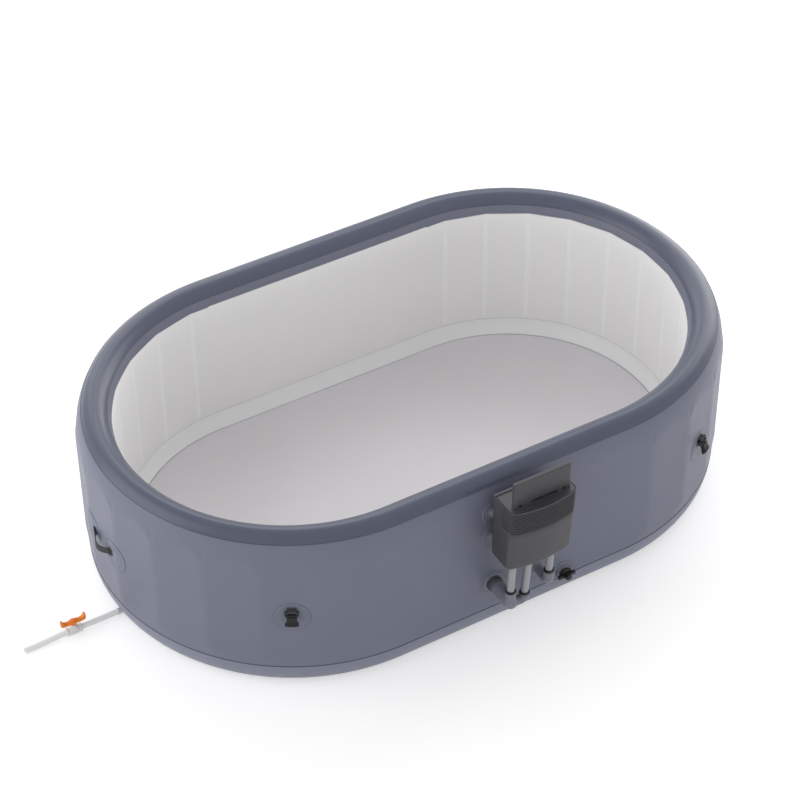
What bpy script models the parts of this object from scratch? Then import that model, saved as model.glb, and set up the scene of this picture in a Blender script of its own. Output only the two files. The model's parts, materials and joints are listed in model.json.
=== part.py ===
"""An oval inflatable hot tub with a hanging pump and heater unit, built piece by piece.

The long axis lies along X, the pump unit hangs on the front wall at -Y, and Z points up.
The origin is on the floor at the middle of the tub. All lengths are metres.
"""
import math

import bmesh
import bpy
from mathutils import Matrix, Vector

# General
GAP = 0.0003
OVERRUN = 0.004
SKIN = 0.001
PLASTIC = 0.0025
SIDES = 20
SIDES_SMALL = 12
TUBE_STEPS = 4
MERGE = 0.00001
SHARP_DEG = 40.0

# Tub: overall sizes outside, and its walls
TUB_LENGTH = 2.500
TUB_WIDTH = 1.575
TUB_HEIGHT = 0.710
END_WALL = 0.135
SIDE_WALL = 0.1475
POOL_LENGTH = TUB_LENGTH - 2 * END_WALL
POOL_WIDTH = TUB_WIDTH - 2 * SIDE_WALL
FRONT_FACE = -TUB_WIDTH / 2
POOL_FACE = -POOL_WIDTH / 2
CROWN_RISE = 0.112
CROWN_BASE = TUB_HEIGHT - CROWN_RISE
SEAM_LOW = 0.085
SKIRT_REACH_SHARE = 0.41
SKIRT_STEPS = 3
COVE_TOP = 0.115
COVE_REACH_SHARE = 1.26
COVE_MID_SHARE = 0.4
FLOOR_LEVEL = 0.060
STRAIGHT_PANELS = 4
WEBS_PER_END = 12
SEAM_OUTER_DEG = 137.0
SEAM_INNER_DEG = 40.0
BAND_EDGE_DEG = 26.0
SEAM_DEG = 0.3
CROWN_STEPS = 3
SHOULDER_STEPS = 2

# Tie webs inside the round ends
WEB_RAISE = 0.055
WEB_LOW = SEAM_LOW + WEB_RAISE
WEB_DROP = 0.018
WEB_HIGH = CROWN_BASE - WEB_DROP
WEB_CLEAR = 0.0006

# Buckles and their webbing tabs
PATCH_RADIUS = 0.065
PATCH_LIFT = GAP
PATCH_SIDES = 16
BUCKLE_HEIGHT = 0.357
BUCKLE_DEG = 60.0
BUCKLE_RAISE = 0.036
BUCKLE_TILT_DEG = 22.0
WEBBING_WIDTH = 0.032
WEBBING = 0.0015
BUCKLE_BAR = 0.0050
BUCKLE_FRAME = 0.0090
BUCKLE_SLOT = 0.0085
BUCKLE_SLOT_WIDTH = 0.038
BUCKLE_ARM = 0.0055
BUCKLE_WAIST = 0.038
BUCKLE_FLARE = 0.050
BUCKLE_LENGTH = 0.057
BUCKLE_BODY = 0.013
BUCKLE_STEP = 0.00125
BUCKLE_WAIST_LENGTH = 0.011
BUCKLE_STAND_OFF = 0.0110
LOOP_STEPS = 6

# Carry handles
HANDLE_HEIGHT = 0.347
HANDLE_HALF_SPAN = 0.062
HANDLE_PATCH_OFFSET = 0.090
HANDLE_WIDTH = 0.027
HANDLE_THICKNESS = 0.0025
HANDLE_BOW = 0.022
HANDLE_BOW_POWER = 1.2
HANDLE_DROOP = 0.012
HANDLE_TAIL = 0.007
HANDLE_STEPS = 12

# Water fittings through the front wall, placed as shares of its height
INLET_X = -0.104
INLET_HEIGHT_SHARE = 0.3282
INLET_Z = TUB_HEIGHT * INLET_HEIGHT_SHARE
RETURN_X = 0.085
RETURN_HEIGHT_SHARE = 0.2915
RETURN_Z = TUB_HEIGHT * RETURN_HEIGHT_SHARE
FLANGE_RADIUS = 0.040
FLANGE_THICKNESS = 0.004
INLET_TUBE = 0.0235
INLET_BORE = 0.0195
INLET_OUT = 0.034
RETURN_TUBE = 0.0180
RETURN_BORE = 0.0145
RETURN_OUT = 0.029
INNER_REACH = 0.010
NUT_RADIUS = 0.031
NUT_LENGTH = 0.024
NUT_LOBES = 8
NUT_LOBE_DEPTH = 0.0012
LOBE_POINTS = 4
STRAINER_FLANGE = 0.042
STRAINER_RADIUS = 0.034
STRAINER_LENGTH = 0.036
STRAINER_HOLE = 0.0050
STRAINER_HOLES = 6
STRAINER_HOLE_SIDES = 6
STRAINER_RING = 0.019
NOZZLE_FLANGE = 0.036
NOZZLE_RADIUS = 0.026
NOZZLE_LENGTH = 0.020
NOZZLE_BORE = 0.0090

# Inflation valve low on the front wall
AIR_VALVE_X = 0.198
AIR_VALVE_RAISE = 0.046
AIR_VALVE_Z = SEAM_LOW + AIR_VALVE_RAISE
AIR_PATCH = 0.044
AIR_COLLAR = 0.027
AIR_TUBE = 0.021
AIR_BORE = 0.0165
AIR_OUT = 0.014
AIR_LIP_SHARE = 0.8
AIR_SHOULDER_SHARE = 0.6
AIR_INSIDE = 0.018
CAP_FLANGE = 0.025
CAP_KNOB = 0.0130
CAP_OUT = 0.046
CAP_PLUG = 0.008
CAP_WING_HALF = 0.036
CAP_WING_NECK = 0.016
CAP_WING_THICK = 0.012
CAP_WING_LOW = 0.021

# Elbows, tee, hoses and clamps below the pump unit
TEE_REACH = 0.1175
TEE_Y = FRONT_FACE - TEE_REACH
TEE_RADIUS = 0.0275
TEE_NOSE_SHARE = 0.85
TEE_BULGE_SHARE = 0.9
TEE_COLLAR = 0.0220
TEE_RISE = 0.052
TEE_TOP = INLET_Z + TEE_RISE
TEE_BORE = 0.0190
BRANCH_REACH = 0.034
BRANCH_END = INLET_X + BRANCH_REACH
MID_REACH = 0.025
MID_X = BRANCH_END + MID_REACH
MID_DROP = 0.0085
MID_Z = INLET_Z - MID_DROP
MID_RISE = 0.0275
MID_TOP = MID_Z + MID_RISE
MID_RADIUS = 0.0175
MID_COLLAR = 0.0210
MID_BEND = 0.016
RETURN_REACH = 0.0745
RETURN_Y = FRONT_FACE - RETURN_REACH
RETURN_RISE = 0.051
RETURN_TOP = RETURN_Z + RETURN_RISE
RETURN_RADIUS = 0.0210
RETURN_COLLAR = 0.0220
RETURN_BEND = 0.022
COLLAR_HEIGHT = 0.014
COLLAR_STEP_SHARE = 0.1
BEND_STEPS = 4
HOSE_RADIUS = 0.0140
HOSE_BORE = 0.0118
CLAMP_WIDTH = 0.006
CLAMP_THICKNESS = 0.0035
HOSE_FOOT = 0.012
HOSE_POINTS = 6

# Pump unit case, which hangs on the wall by its back
CASE_X = -0.008
CASE_HALF = 0.133
CASE_STAND_OFF = 0.0475
CASE_BACK = FRONT_FACE - CASE_STAND_OFF
CASE_DEPTH_LOW = 0.100
CASE_DEPTH_HIGH = 0.122
CASE_FRONT_LOW = CASE_BACK - CASE_DEPTH_LOW
CASE_FRONT_HIGH = CASE_BACK - CASE_DEPTH_HIGH
CASE_BOW = 0.020
CASE_CORNER = 0.018
CASE_CORNER_STEPS = 3
CASE_BOW_STEPS = 6
CASE_HEIGHT = 0.286
CASE_RAISE = 0.006
CASE_TOP = TUB_HEIGHT + CASE_RAISE
CASE_BOTTOM = CASE_TOP - CASE_HEIGHT
CASE_REAR_DEPTH = 0.012
CASE_LIP = 0.008
CASE_BELT_DROP = 0.104
CASE_BELT = CASE_TOP - CASE_BELT_DROP
TRAY_DROP = 0.018
TRAY_LEVEL = CASE_TOP - TRAY_DROP
TRAY_THICKNESS = 0.003
TRAY_CLEAR = 0.0032
GRILLE_DROP = 0.008
GRILLE_HIGH = CASE_TOP - GRILLE_DROP
GRILLE_HEIGHT = 0.089
GRILLE_LOW = GRILLE_HIGH - GRILLE_HEIGHT
GRILLE_RIBS = 6
GRILLE_TOOTH_SHARE = 0.62
GRILLE_THICKNESS = 0.0012
GRILLE_RELIEF = 0.0014
GRILLE_SIDE_REACH = 0.046

# Control panel that tilts outwards on the pump unit
PANEL_INSET = 0.019
PANEL_WIDTH = 2 * (CASE_HALF - PANEL_INSET)
PANEL_THICKNESS = 0.018
PANEL_SET_BACK = 0.019
PANEL_FRONT = CASE_FRONT_HIGH + PANEL_SET_BACK
PANEL_BACK = PANEL_FRONT + PANEL_THICKNESS
PANEL_AXIS_DEPTH = 0.013
PANEL_AXIS_Y = PANEL_FRONT + PANEL_AXIS_DEPTH
PANEL_AXIS_RAISE = 0.024
PANEL_AXIS_Z = TRAY_LEVEL + PANEL_AXIS_RAISE
PANEL_RAISE = 0.0045
PANEL_LOW = PANEL_AXIS_Z + PANEL_RAISE
PANEL_HEIGHT = 0.1005
PANEL_HIGH = PANEL_LOW + PANEL_HEIGHT
PANEL_EDGE = 0.003
PANEL_BARREL = 0.0050
PANEL_PIN = 0.0025
PANEL_PIN_HOLE = 0.0028
PANEL_BARREL_INSET = 0.029
PANEL_BARREL_HALF = PANEL_WIDTH / 2 - PANEL_BARREL_INSET
EAR_WIDTH = 0.008
EAR_HALF_DEPTH = 0.0042
EAR_STEPS = 6
DISPLAY_WIDTH = 0.090
DISPLAY_HEIGHT = 0.034
DISPLAY_DEPTH = 0.0012
DISPLAY_DROP = 0.028
DISPLAY_Z = PANEL_HIGH - DISPLAY_DROP
KEY_RADIUS = 0.0075
KEY_HOLE = 0.0078
KEY_POCKET = 0.0045
KEY_PROUD = 0.0015
KEY_TRAVEL = 0.0010
KEY_RAISE = 0.0335
KEY_Z = PANEL_LOW + KEY_RAISE
KEY_PITCH = 0.040

# Air unions that carry the pump unit on the wall
UNION_INSET = 0.033
UNION_X = CASE_X - CASE_HALF + UNION_INSET
UNION_DROP = 0.018
UNION_HIGH_Z = CROWN_BASE - UNION_DROP
UNION_SPACING = 0.118
UNION_LOW_Z = UNION_HIGH_Z - UNION_SPACING
UNION_PATCH = 0.048
UNION_COLLAR = 0.026
UNION_TUBE = 0.0160
UNION_BORE = 0.0125
UNION_INSIDE = 0.012
UNION_STEP = 0.010
UNION_TAPER = 0.004

# Pump inside the unit, with the hose barb under it
BARB = 0.0110
BARB_BORE = 0.0086
BARB_HOLE = 0.0116
BARB_REACH = 0.025
BARB_LOW = CASE_BOTTOM - BARB_REACH
BARB_TIP = 0.003
VOLUTE_RADIUS = 0.032
VOLUTE_HEIGHT = 0.032
VOLUTE_HIGH = CASE_BOTTOM + VOLUTE_HEIGHT
MOTOR_RADIUS = 0.026
MOTOR_HEIGHT = 0.105
MOTOR_HIGH = CASE_BOTTOM + MOTOR_HEIGHT
CHAMBER_RADIUS = 0.028
CHAMBER_FLOOR = 0.007
CHAMBER_LOW = CASE_BOTTOM + CHAMBER_FLOOR
CHAMBER_ROOF = 0.027
CHAMBER_HIGH = CASE_BOTTOM + CHAMBER_ROOF
IMPELLER_RADIUS = 0.025
IMPELLER_HUB = 0.009
IMPELLER_BLADES = 6
IMPELLER_HEIGHT = 0.014
BLADE_SHARE = 0.14
BLADE_ROOT_SHARE = 2.2
PUMP_CLEAR = 0.014
PUMP_X = CASE_X - CASE_HALF + VOLUTE_RADIUS + PUMP_CLEAR
PUMP_DEPTH = 0.065
PUMP_Y = CASE_BACK - PUMP_DEPTH

# Heater inside the unit
HEATER_RADIUS = 0.022
HEATER_BASE = 0.026
HEATER_BASE_HEIGHT = 0.008
HEATER_BASE_HIGH = CASE_BOTTOM + HEATER_BASE_HEIGHT
HEATER_HEIGHT = 0.210
HEATER_HIGH = CASE_BOTTOM + HEATER_HEIGHT
HEATER_BORE = 0.018
HEATER_CLEAR = 0.011
HEATER_X = CASE_X + CASE_HALF - HEATER_BASE - HEATER_CLEAR
HEATER_DEPTH = 0.030
HEATER_Y = CASE_BACK - HEATER_DEPTH
CROSS_PIPE_DEPTH = 0.015
CROSS_PIPE_Y = HEATER_Y - CROSS_PIPE_DEPTH
CROSS_PIPE_RAISE = 0.020
CROSS_PIPE_Z = CASE_BOTTOM + CROSS_PIPE_RAISE
CROSS_PIPE_RADIUS = 0.009
CROSS_PIPE_BORE = 0.0065

# Blower inside the unit
BLOWER_CLEAR = 0.019
BLOWER_X = PUMP_X + VOLUTE_RADIUS + BARB + BLOWER_CLEAR
BLOWER_DROP = 0.116
BLOWER_Z = CASE_TOP - BLOWER_DROP
BLOWER_RADIUS = 0.044
BLOWER_LENGTH = 0.0842
BLOWER_INLET = 0.020
BLOWER_PIPE_DEPTH = 0.070
BLOWER_PIPE_Y = CASE_BACK - BLOWER_PIPE_DEPTH
FAN_RADIUS = 0.036
FAN_HUB = 0.012
FAN_BLADES = 10
FAN_LENGTH = 0.060

# Routes of the two free drain hoses, from the tub outwards
DRAIN_HOSE_ROUTE = (
    (-1.2443, -0.0410, 0.0170),
    (-1.2530, -0.0410, 0.0170),
    (-1.2960, -0.0412, 0.0160),
    (-1.3360, -0.0412, 0.0160),
    (-1.3770, -0.0410, 0.0170),
    (-1.3857, -0.0410, 0.0170),
)
TAIL_HOSE_ROUTE = (
    (-1.4483, -0.0410, 0.0170),
    (-1.4570, -0.0410, 0.0170),
    (-1.5100, -0.0414, 0.0142),
    (-1.5600, -0.0420, 0.0118),
    (-1.6030, -0.0422, 0.0113),
    (-1.6120, -0.0422, 0.0113),
)

# Drain: sump and duct under the left end, and the valve between the two free hoses
DRAIN_Y = -0.041
DRAIN_AXIS = 0.0170
DRAIN_RADIUS = 0.0110
DRAIN_BORE = 0.0085
DRAIN_COLLAR = 0.0125
DRAIN_COLLAR_LENGTH = 0.007
DRAIN_INSET = 0.006
DRAIN_OUTER_X = DRAIN_INSET - TUB_LENGTH / 2
SUMP_INSET = 0.095
DRAIN_SUMP_X = SUMP_INSET - POOL_LENGTH / 2
DRAIN_BEND = 0.022
SUMP_RADIUS = 0.030
SUMP_THICKNESS = 0.003
VALVE_HALF = 0.031
VALVE_X = DRAIN_HOSE_ROUTE[-1][0] - GAP - VALVE_HALF
VALVE_BODY = 0.0167
VALVE_SOCKET = 0.0142
VALVE_WAIST_SHARE = 0.55
VALVE_SWELL_SHARE = 0.33
VALVE_SEAT_STEPS = 4
VALVE_CORE = 0.0125
VALVE_CORE_BORE = 0.0080
VALVE_PORT_BORE = 0.0072
VALVE_TOWER = 0.0095
VALVE_TOWER_HIGH = 0.042
VALVE_STEM = 0.0040
VALVE_STEM_LOW = 0.0075
VALVE_STEM_HIGH = 0.047
LEVER_HALF = 0.0485
LEVER_WIDTH = 0.014
LEVER_HUB = 0.0130
LEVER_HUB_HEIGHT = 0.0168
LEVER_THICK = 0.014
LEVER_TIP = 0.033
LEVER_ARM_SHARE = 0.80
LEVER_TIP_SHARE = 0.88
LEVER_LOW_SHARES = (0.2, 0.6)
LEVER_HIGH_SHARES = (1.4, 1.0, 1.5)
LEVER_ROOT_SHARES = (1.3, 0.8)
CORD_STEP = 0.050

# Finishes: colour, roughness, metallic
FINISHES = {
    "slate_pvc": ((0.190, 0.205, 0.260), 0.50, 0.0),
    "slate_pvc_dark": ((0.095, 0.105, 0.150), 0.42, 0.0),
    "pale_pvc": ((0.640, 0.630, 0.630), 0.50, 0.0),
    "pale_weld": ((0.700, 0.710, 0.720), 0.45, 0.0),
    "black_plastic": ((0.018, 0.018, 0.020), 0.45, 0.0),
    "webbing": ((0.070, 0.070, 0.072), 0.85, 0.0),
    "case_plastic": ((0.085, 0.083, 0.088), 0.50, 0.0),
    "hose": ((0.560, 0.560, 0.570), 0.45, 0.0),
    "slate_plastic": ((0.180, 0.190, 0.230), 0.45, 0.0),
    "orange_plastic": ((0.860, 0.230, 0.010), 0.35, 0.0),
    "white_plastic": ((0.720, 0.730, 0.740), 0.40, 0.0),
    "motor_metal": ((0.450, 0.450, 0.460), 0.35, 0.9),
    "key_plastic": ((0.500, 0.500, 0.510), 0.40, 0.0),
}


def clear_scene():
    """Remove every object, so that the part starts from an empty scene."""
    for item in list(bpy.data.objects):
        bpy.data.objects.remove(item, do_unlink=True)


def collection(name):
    """Return a collection of this name, linked to the scene."""
    found = bpy.data.collections.get(name)
    if found is None:
        found = bpy.data.collections.new(name)
        bpy.context.scene.collection.children.link(found)
    return found


def material_for(node, finish):
    """Give a node its own Principled material."""
    colour, roughness, metallic = FINISHES[finish]
    material = bpy.data.materials.new(f"{node}_{finish}")
    material.use_nodes = True
    shader = material.node_tree.nodes["Principled BSDF"]
    shader.inputs["Base Color"].default_value = (*colour, 1.0)
    shader.inputs["Roughness"].default_value = roughness
    shader.inputs["Metallic"].default_value = metallic
    material.diffuse_color = (*colour, 1.0)
    return material


def place(name, data, finish, matrix=None):
    """Add mesh or curve data to the scene as one named sub-part."""
    item = bpy.data.objects.new(name, data)
    collection("inflatable_hot_tub").objects.link(item)
    data.materials.append(material_for(name, finish))
    if isinstance(data, bpy.types.Mesh):
        data.shade_smooth()
        data.set_sharp_from_angle(angle=math.radians(SHARP_DEG))
    if matrix is not None:
        item.matrix_world = matrix
    return item


def cutter(name, data, matrix=None):
    """Add data as a hidden cutting tool."""
    item = bpy.data.objects.new(name, data)
    collection("cutters").objects.link(item)
    item.hide_render = True
    item.display_type = "WIRE"
    if matrix is not None:
        item.matrix_world = matrix
    return item


def mesh_from(name, points, faces):
    """Make a mesh from points and faces."""
    mesh = bpy.data.meshes.new(name)
    mesh.from_pydata([tuple(point) for point in points], [], faces)
    mesh.update()
    return mesh


def face_outwards(mesh):
    """Weld a closed mesh and turn its faces outwards."""
    work = bmesh.new()
    work.from_mesh(mesh)
    bmesh.ops.remove_doubles(work, verts=work.verts, dist=MERGE)
    bmesh.ops.recalc_face_normals(work, faces=work.faces)
    work.to_mesh(mesh)
    work.free()
    return mesh


def facing(axis, at):
    """Return a matrix that takes local +Z to a direction, at a place."""
    turn = Vector((0.0, 0.0, 1.0)).rotation_difference(Vector(axis)).to_matrix().to_4x4()
    return Matrix.Translation(Vector(at)) @ turn


def thicken(item, thickness, offset=-1.0):
    """Turn an open skin into a sheet of even thickness."""
    solid = item.modifiers.new("Thickness", "SOLIDIFY")
    solid.thickness = thickness
    solid.offset = offset
    solid.use_even_offset = True
    solid.use_rim = True
    return item


def boolean(item, tool, operation):
    """Cut, or join, one closed solid with another."""
    modifier = item.modifiers.new(tool.name, "BOOLEAN")
    modifier.operation = operation
    modifier.solver = "EXACT"
    modifier.object = tool
    return item


def turned_mesh(name, profile, closed=False, sides=SIDES):
    """Turn a profile of (radius, height) points about Z into a solid mesh."""
    count = len(profile)
    edges = [(i, i + 1) for i in range(count - 1)]
    if closed:
        edges.append((count - 1, 0))
    outline = bpy.data.meshes.new(f"{name}_profile")
    outline.from_pydata([(radius, 0.0, height) for radius, height in profile], edges, [])
    holder = bpy.data.objects.new(f"{name}_profile", outline)
    bpy.context.scene.collection.objects.link(holder)
    screw = holder.modifiers.new("Turn", "SCREW")
    screw.steps = sides
    screw.render_steps = sides
    screw.use_merge_vertices = True
    screw.merge_threshold = MERGE
    screw.use_smooth_shade = False
    return bake(holder)


def bake(holder):
    """Evaluate an object with its modifiers, weld it, remove it and return its mesh."""
    bpy.context.view_layer.update()
    graph = bpy.context.evaluated_depsgraph_get()
    mesh = bpy.data.meshes.new_from_object(holder.evaluated_get(graph))
    mesh.name = holder.name
    mesh.transform(holder.matrix_world)
    data = holder.data
    bpy.data.objects.remove(holder, do_unlink=True)
    if isinstance(data, bpy.types.Curve):
        bpy.data.curves.remove(data)
    mesh.materials.clear()
    return face_outwards(mesh)


def turned(name, profile, finish, matrix=None, closed=False, sides=SIDES):
    """Add a turned solid."""
    return place(name, turned_mesh(name, profile, closed, sides), finish, matrix)


def ring_profile(inner, outer, low, high):
    """Return the closed profile of a plain ring."""
    return [(outer, high), (outer, low), (inner, low), (inner, high)]


def rod_mesh(name, radius, low, high, sides=SIDES):
    """Return a closed cylinder along Z."""
    work = bmesh.new()
    centre = Matrix.Translation((0.0, 0.0, (low + high) / 2))
    bmesh.ops.create_cone(work, cap_ends=True, segments=sides, radius1=radius, radius2=radius,
                          depth=high - low, matrix=centre)
    mesh = bpy.data.meshes.new(name)
    work.to_mesh(mesh)
    work.free()
    return mesh


def box_mesh(name, low, high):
    """Return a closed box between two corners."""
    work = bmesh.new()
    size = [top - bottom for bottom, top in zip(low, high)]
    centre = [(top + bottom) / 2 for bottom, top in zip(low, high)]
    bmesh.ops.create_cube(work, size=1.0, matrix=Matrix.Translation(centre) @ Matrix.Diagonal((*size, 1.0)))
    mesh = bpy.data.meshes.new(name)
    work.to_mesh(mesh)
    work.free()
    return mesh


def drill(item, name, radius, start, axis, length, sides=SIDES_SMALL):
    """Cut a round hole from a start point along an axis."""
    hole = cutter(name, rod_mesh(name, radius, 0.0, length, sides), facing(axis, start))
    return boolean(item, hole, "DIFFERENCE")


def route_curve(name, route, radii, capped):
    """Return curve data of a round tube through points, each with its own radius."""
    curve = bpy.data.curves.new(name, "CURVE")
    curve.dimensions = "3D"
    curve.bevel_depth = 1.0
    curve.bevel_resolution = TUBE_STEPS
    curve.use_fill_caps = capped
    spline = curve.splines.new("POLY")
    spline.points.add(len(route) - 1)
    for point, at, radius in zip(spline.points, route, radii):
        point.co = (*at, 1.0)
        point.radius = radius
    return curve


def tube_mesh(name, route, radii):
    """Return a closed, solid tube through points."""
    holder = bpy.data.objects.new(name, route_curve(name, route, radii, True))
    bpy.context.scene.collection.objects.link(holder)
    return bake(holder)


def smooth_route(points, count):
    """Return points of a smooth curve through the given points."""
    places = [Vector(point) for point in points]
    spans = len(places) - 1
    result = []
    for i in range(count + 1):
        along = spans * i / count
        span = min(int(along), spans - 1)
        t = along - span
        before = places[max(span - 1, 0)]
        start = places[span]
        end = places[span + 1]
        after = places[min(span + 2, spans)]
        result.append(0.5 * (2 * start + (end - before) * t
                             + (2 * before - 5 * start + 4 * end - after) * t * t
                             + (3 * start - before - 3 * end + after) * t * t * t))
    return result


def clear_radius(radius, sides):
    """Return the radius of a many-sided hole that clears a round rod by the working gap."""
    return (radius + GAP) / math.cos(math.pi / sides)


def hose_points(route, count):
    """Return points whose first and last stretches are straight and whose middle is a smooth curve."""
    return [Vector(route[0])] + smooth_route(route[1:-1], count) + [Vector(route[-1])]


def bend(start, corner, end, radius):
    """Return the points from start round a corner of a given radius to end."""
    start, corner, end = Vector(start), Vector(corner), Vector(end)
    into = (start - corner).normalized()
    out = (end - corner).normalized()
    centre = corner + (into + out) * radius
    points = [start]
    for i in range(BEND_STEPS + 1):
        angle = math.pi / 2 * i / BEND_STEPS
        points.append(centre - out * radius * math.cos(angle) - into * radius * math.sin(angle))
    points.append(end)
    return points


def flat_mesh(name, outline, depth):
    """Return a closed plate of a flat outline in local XY, centred on Z."""
    curve = bpy.data.curves.new(name, "CURVE")
    curve.dimensions = "2D"
    curve.fill_mode = "BOTH"
    curve.extrude = depth / 2
    spline = curve.splines.new("POLY")
    spline.points.add(len(outline) - 1)
    for point, (x, y) in zip(spline.points, outline):
        point.co = (x, y, 0.0, 1.0)
    spline.use_cyclic_u = True
    holder = bpy.data.objects.new(name, curve)
    bpy.context.scene.collection.objects.link(holder)
    return bake(holder)


def circle(radius, sides):
    """Return the points of a circle."""
    return [(radius * math.cos(2 * math.pi * i / sides), radius * math.sin(2 * math.pi * i / sides))
            for i in range(sides)]


# Tub walls


def plan_columns():
    """Return (outer, inner, is_web) for each column round the oval, seen from above, anticlockwise."""
    outer_radius = TUB_WIDTH / 2
    outer_straight = (TUB_LENGTH - TUB_WIDTH) / 2
    inner_radius = POOL_WIDTH / 2
    inner_straight = (POOL_LENGTH - POOL_WIDTH) / 2
    pitch = math.pi / WEBS_PER_END
    angles = [(-math.pi / 2, False)]
    for i in range(2 * WEBS_PER_END - 1):
        angles.append((-math.pi / 2 + pitch / 2 * (i + 1), i % 2 == 0))
    angles.append((math.pi / 2, False))
    columns = []
    for side in (1, -1):
        for angle, is_web in angles:
            across, along = side * math.cos(angle), side * math.sin(angle)
            outer = Vector((side * outer_straight + outer_radius * across, outer_radius * along))
            inner = Vector((side * inner_straight + inner_radius * across, inner_radius * along))
            columns.append((outer, inner, is_web))
        for i in range(1, STRAIGHT_PANELS):
            share = 1 - 2 * i / STRAIGHT_PANELS
            outer = Vector((side * outer_straight * share, side * outer_radius))
            inner = Vector((side * inner_straight * share, side * inner_radius))
            columns.append((outer, inner, False))
    return columns


COLUMNS = plan_columns()


def wall_point(column, depth, height):
    """Return a point of the wall: depth 0 is the outer face and 1 the pool face."""
    outer, inner, _ = column
    place_xy = outer.lerp(inner, depth)
    return Vector((place_xy.x, place_xy.y, height))


def crown(degrees):
    """Return (depth, height) on the rounded top: 180 is the outer face, 0 the pool face."""
    angle = math.radians(degrees)
    return (1 + math.cos(angle)) / 2, CROWN_BASE + CROWN_RISE * math.sin(angle)


def skirt(share):
    """Return (depth, height) on the turned-under edge: share 0 is the seam, 1 the floor."""
    angle = math.pi / 2 * share
    return SKIRT_REACH_SHARE * (1 - math.cos(angle)), SEAM_LOW * (1 - math.sin(angle))


def oval_skin(name, rows, finish, has_floor=False):
    """Add a sheet round the whole oval through rows of (depth, height), with or without a floor."""
    count = len(COLUMNS)
    points = [wall_point(column, depth, height) for depth, height in rows for column in COLUMNS]
    faces = []
    for row in range(len(rows) - 1):
        for i in range(count):
            j = (i + 1) % count
            a, b = row * count, (row + 1) * count
            faces.append((a + i, a + j, b + j, b + i))
    if has_floor:
        faces.append(tuple(range(count))[::-1])
    return thicken(place(name, mesh_from(name, points, faces), finish), SKIN)


def build_shell():
    """Build the sheets of the tub: wall, crown, pool liner, floor and base."""
    wall_rows = [(0.0, SEAM_LOW + GAP)]
    wall_rows += [crown(180 - (180 - SEAM_OUTER_DEG) * i / SHOULDER_STEPS) for i in range(SHOULDER_STEPS + 1)]
    outer = oval_skin("outer_skin", wall_rows, "slate_pvc")
    start, top, end = SEAM_OUTER_DEG - SEAM_DEG, 90.0, SEAM_INNER_DEG + SEAM_DEG
    roll_rows = [crown(start + (top - start) * i / CROWN_STEPS) for i in range(CROWN_STEPS)]
    roll_rows += [crown(top + (end - top) * i / CROWN_STEPS) for i in range(CROWN_STEPS + 1)]
    oval_skin("top_roll", roll_rows, "slate_pvc_dark")
    band_rows = [crown(SEAM_INNER_DEG), crown(BAND_EDGE_DEG + SEAM_DEG)]
    oval_skin("inner_band", band_rows, "slate_pvc_dark")
    liner_rows = [crown(BAND_EDGE_DEG), crown(0.0), (1.0, COVE_TOP + GAP)]
    liner = oval_skin("inner_liner", liner_rows, "pale_pvc")
    cove_mid = (1.0 + (COVE_REACH_SHARE - 1.0) * COVE_MID_SHARE,
                FLOOR_LEVEL + (COVE_TOP - FLOOR_LEVEL) * COVE_MID_SHARE)
    cove_rows = [(1.0, COVE_TOP), cove_mid, (COVE_REACH_SHARE, FLOOR_LEVEL)]
    oval_skin("cove_strip", cove_rows, "pale_weld")
    tray_rows = [skirt(1 - i / SKIRT_STEPS) for i in range(SKIRT_STEPS + 1)]
    tray = oval_skin("base_tray", tray_rows, "slate_pvc", has_floor=True)
    floor = build_floor()
    return outer, liner, tray, floor


def build_floor():
    """Build the pool floor as a flat oval plate inside the cove strip."""
    inset = 1 + GAP / END_WALL
    points = [wall_point(column, COVE_REACH_SHARE * inset, FLOOR_LEVEL) for column in COLUMNS]
    mesh = mesh_from("floor_sheet", points, [tuple(range(len(points)))])
    return thicken(place("floor_sheet", mesh, "pale_pvc"), SKIN)


def build_webs(side_name, first_column):
    """Build the pleated tie web that holds the two wall skins of one round end together."""
    heights = (WEB_LOW, WEB_HIGH)
    stations = []
    web_columns = [first_column + i for i in range(1, 2 * WEBS_PER_END, 2)]
    inward = True
    for order, index in enumerate(web_columns):
        outer, inner, _ = COLUMNS[index]
        near = (SKIN + SKIN / 2 + WEB_CLEAR) / (outer - inner).length
        depths = (near, 1 - near) if inward else (1 - near, near)
        stations += [(index, depth) for depth in depths]
        if order < len(web_columns) - 1:
            stations.append((index + 1, depths[-1]))
        inward = not inward
    points = [wall_point(COLUMNS[index], depth, height) for index, depth in stations for height in heights]
    rows = len(heights)
    faces = []
    for i in range(len(stations) - 1):
        for j in range(rows - 1):
            a, b = i * rows + j, (i + 1) * rows + j
            faces.append((a, b, b + 1, a + 1))
    name = f"tie_web_{side_name}"
    return thicken(place(name, mesh_from(name, points, faces), "pale_pvc"), SKIN, 0.0)


# Things that sit on the outer wall


def outline_length_table():
    """Return the running length of the outer oval at each column."""
    table = [0.0]
    for i in range(len(COLUMNS)):
        here, there = COLUMNS[i][0], COLUMNS[(i + 1) % len(COLUMNS)][0]
        table.append(table[-1] + (there - here).length)
    return table


OUTLINE = outline_length_table()


def on_wall(along, height, lift):
    """Return a point on the outer wall at a running length, lifted off the skin."""
    along %= OUTLINE[-1]
    index = next(i for i in range(len(COLUMNS)) if OUTLINE[i + 1] >= along)
    here, there = COLUMNS[index][0], COLUMNS[(index + 1) % len(COLUMNS)][0]
    share = (along - OUTLINE[index]) / (OUTLINE[index + 1] - OUTLINE[index])
    spot = here.lerp(there, share)
    run = (there - here).normalized()
    outward = Vector((run.y, -run.x))
    spot = spot + outward * lift
    return Vector((spot.x, spot.y, height))


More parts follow.
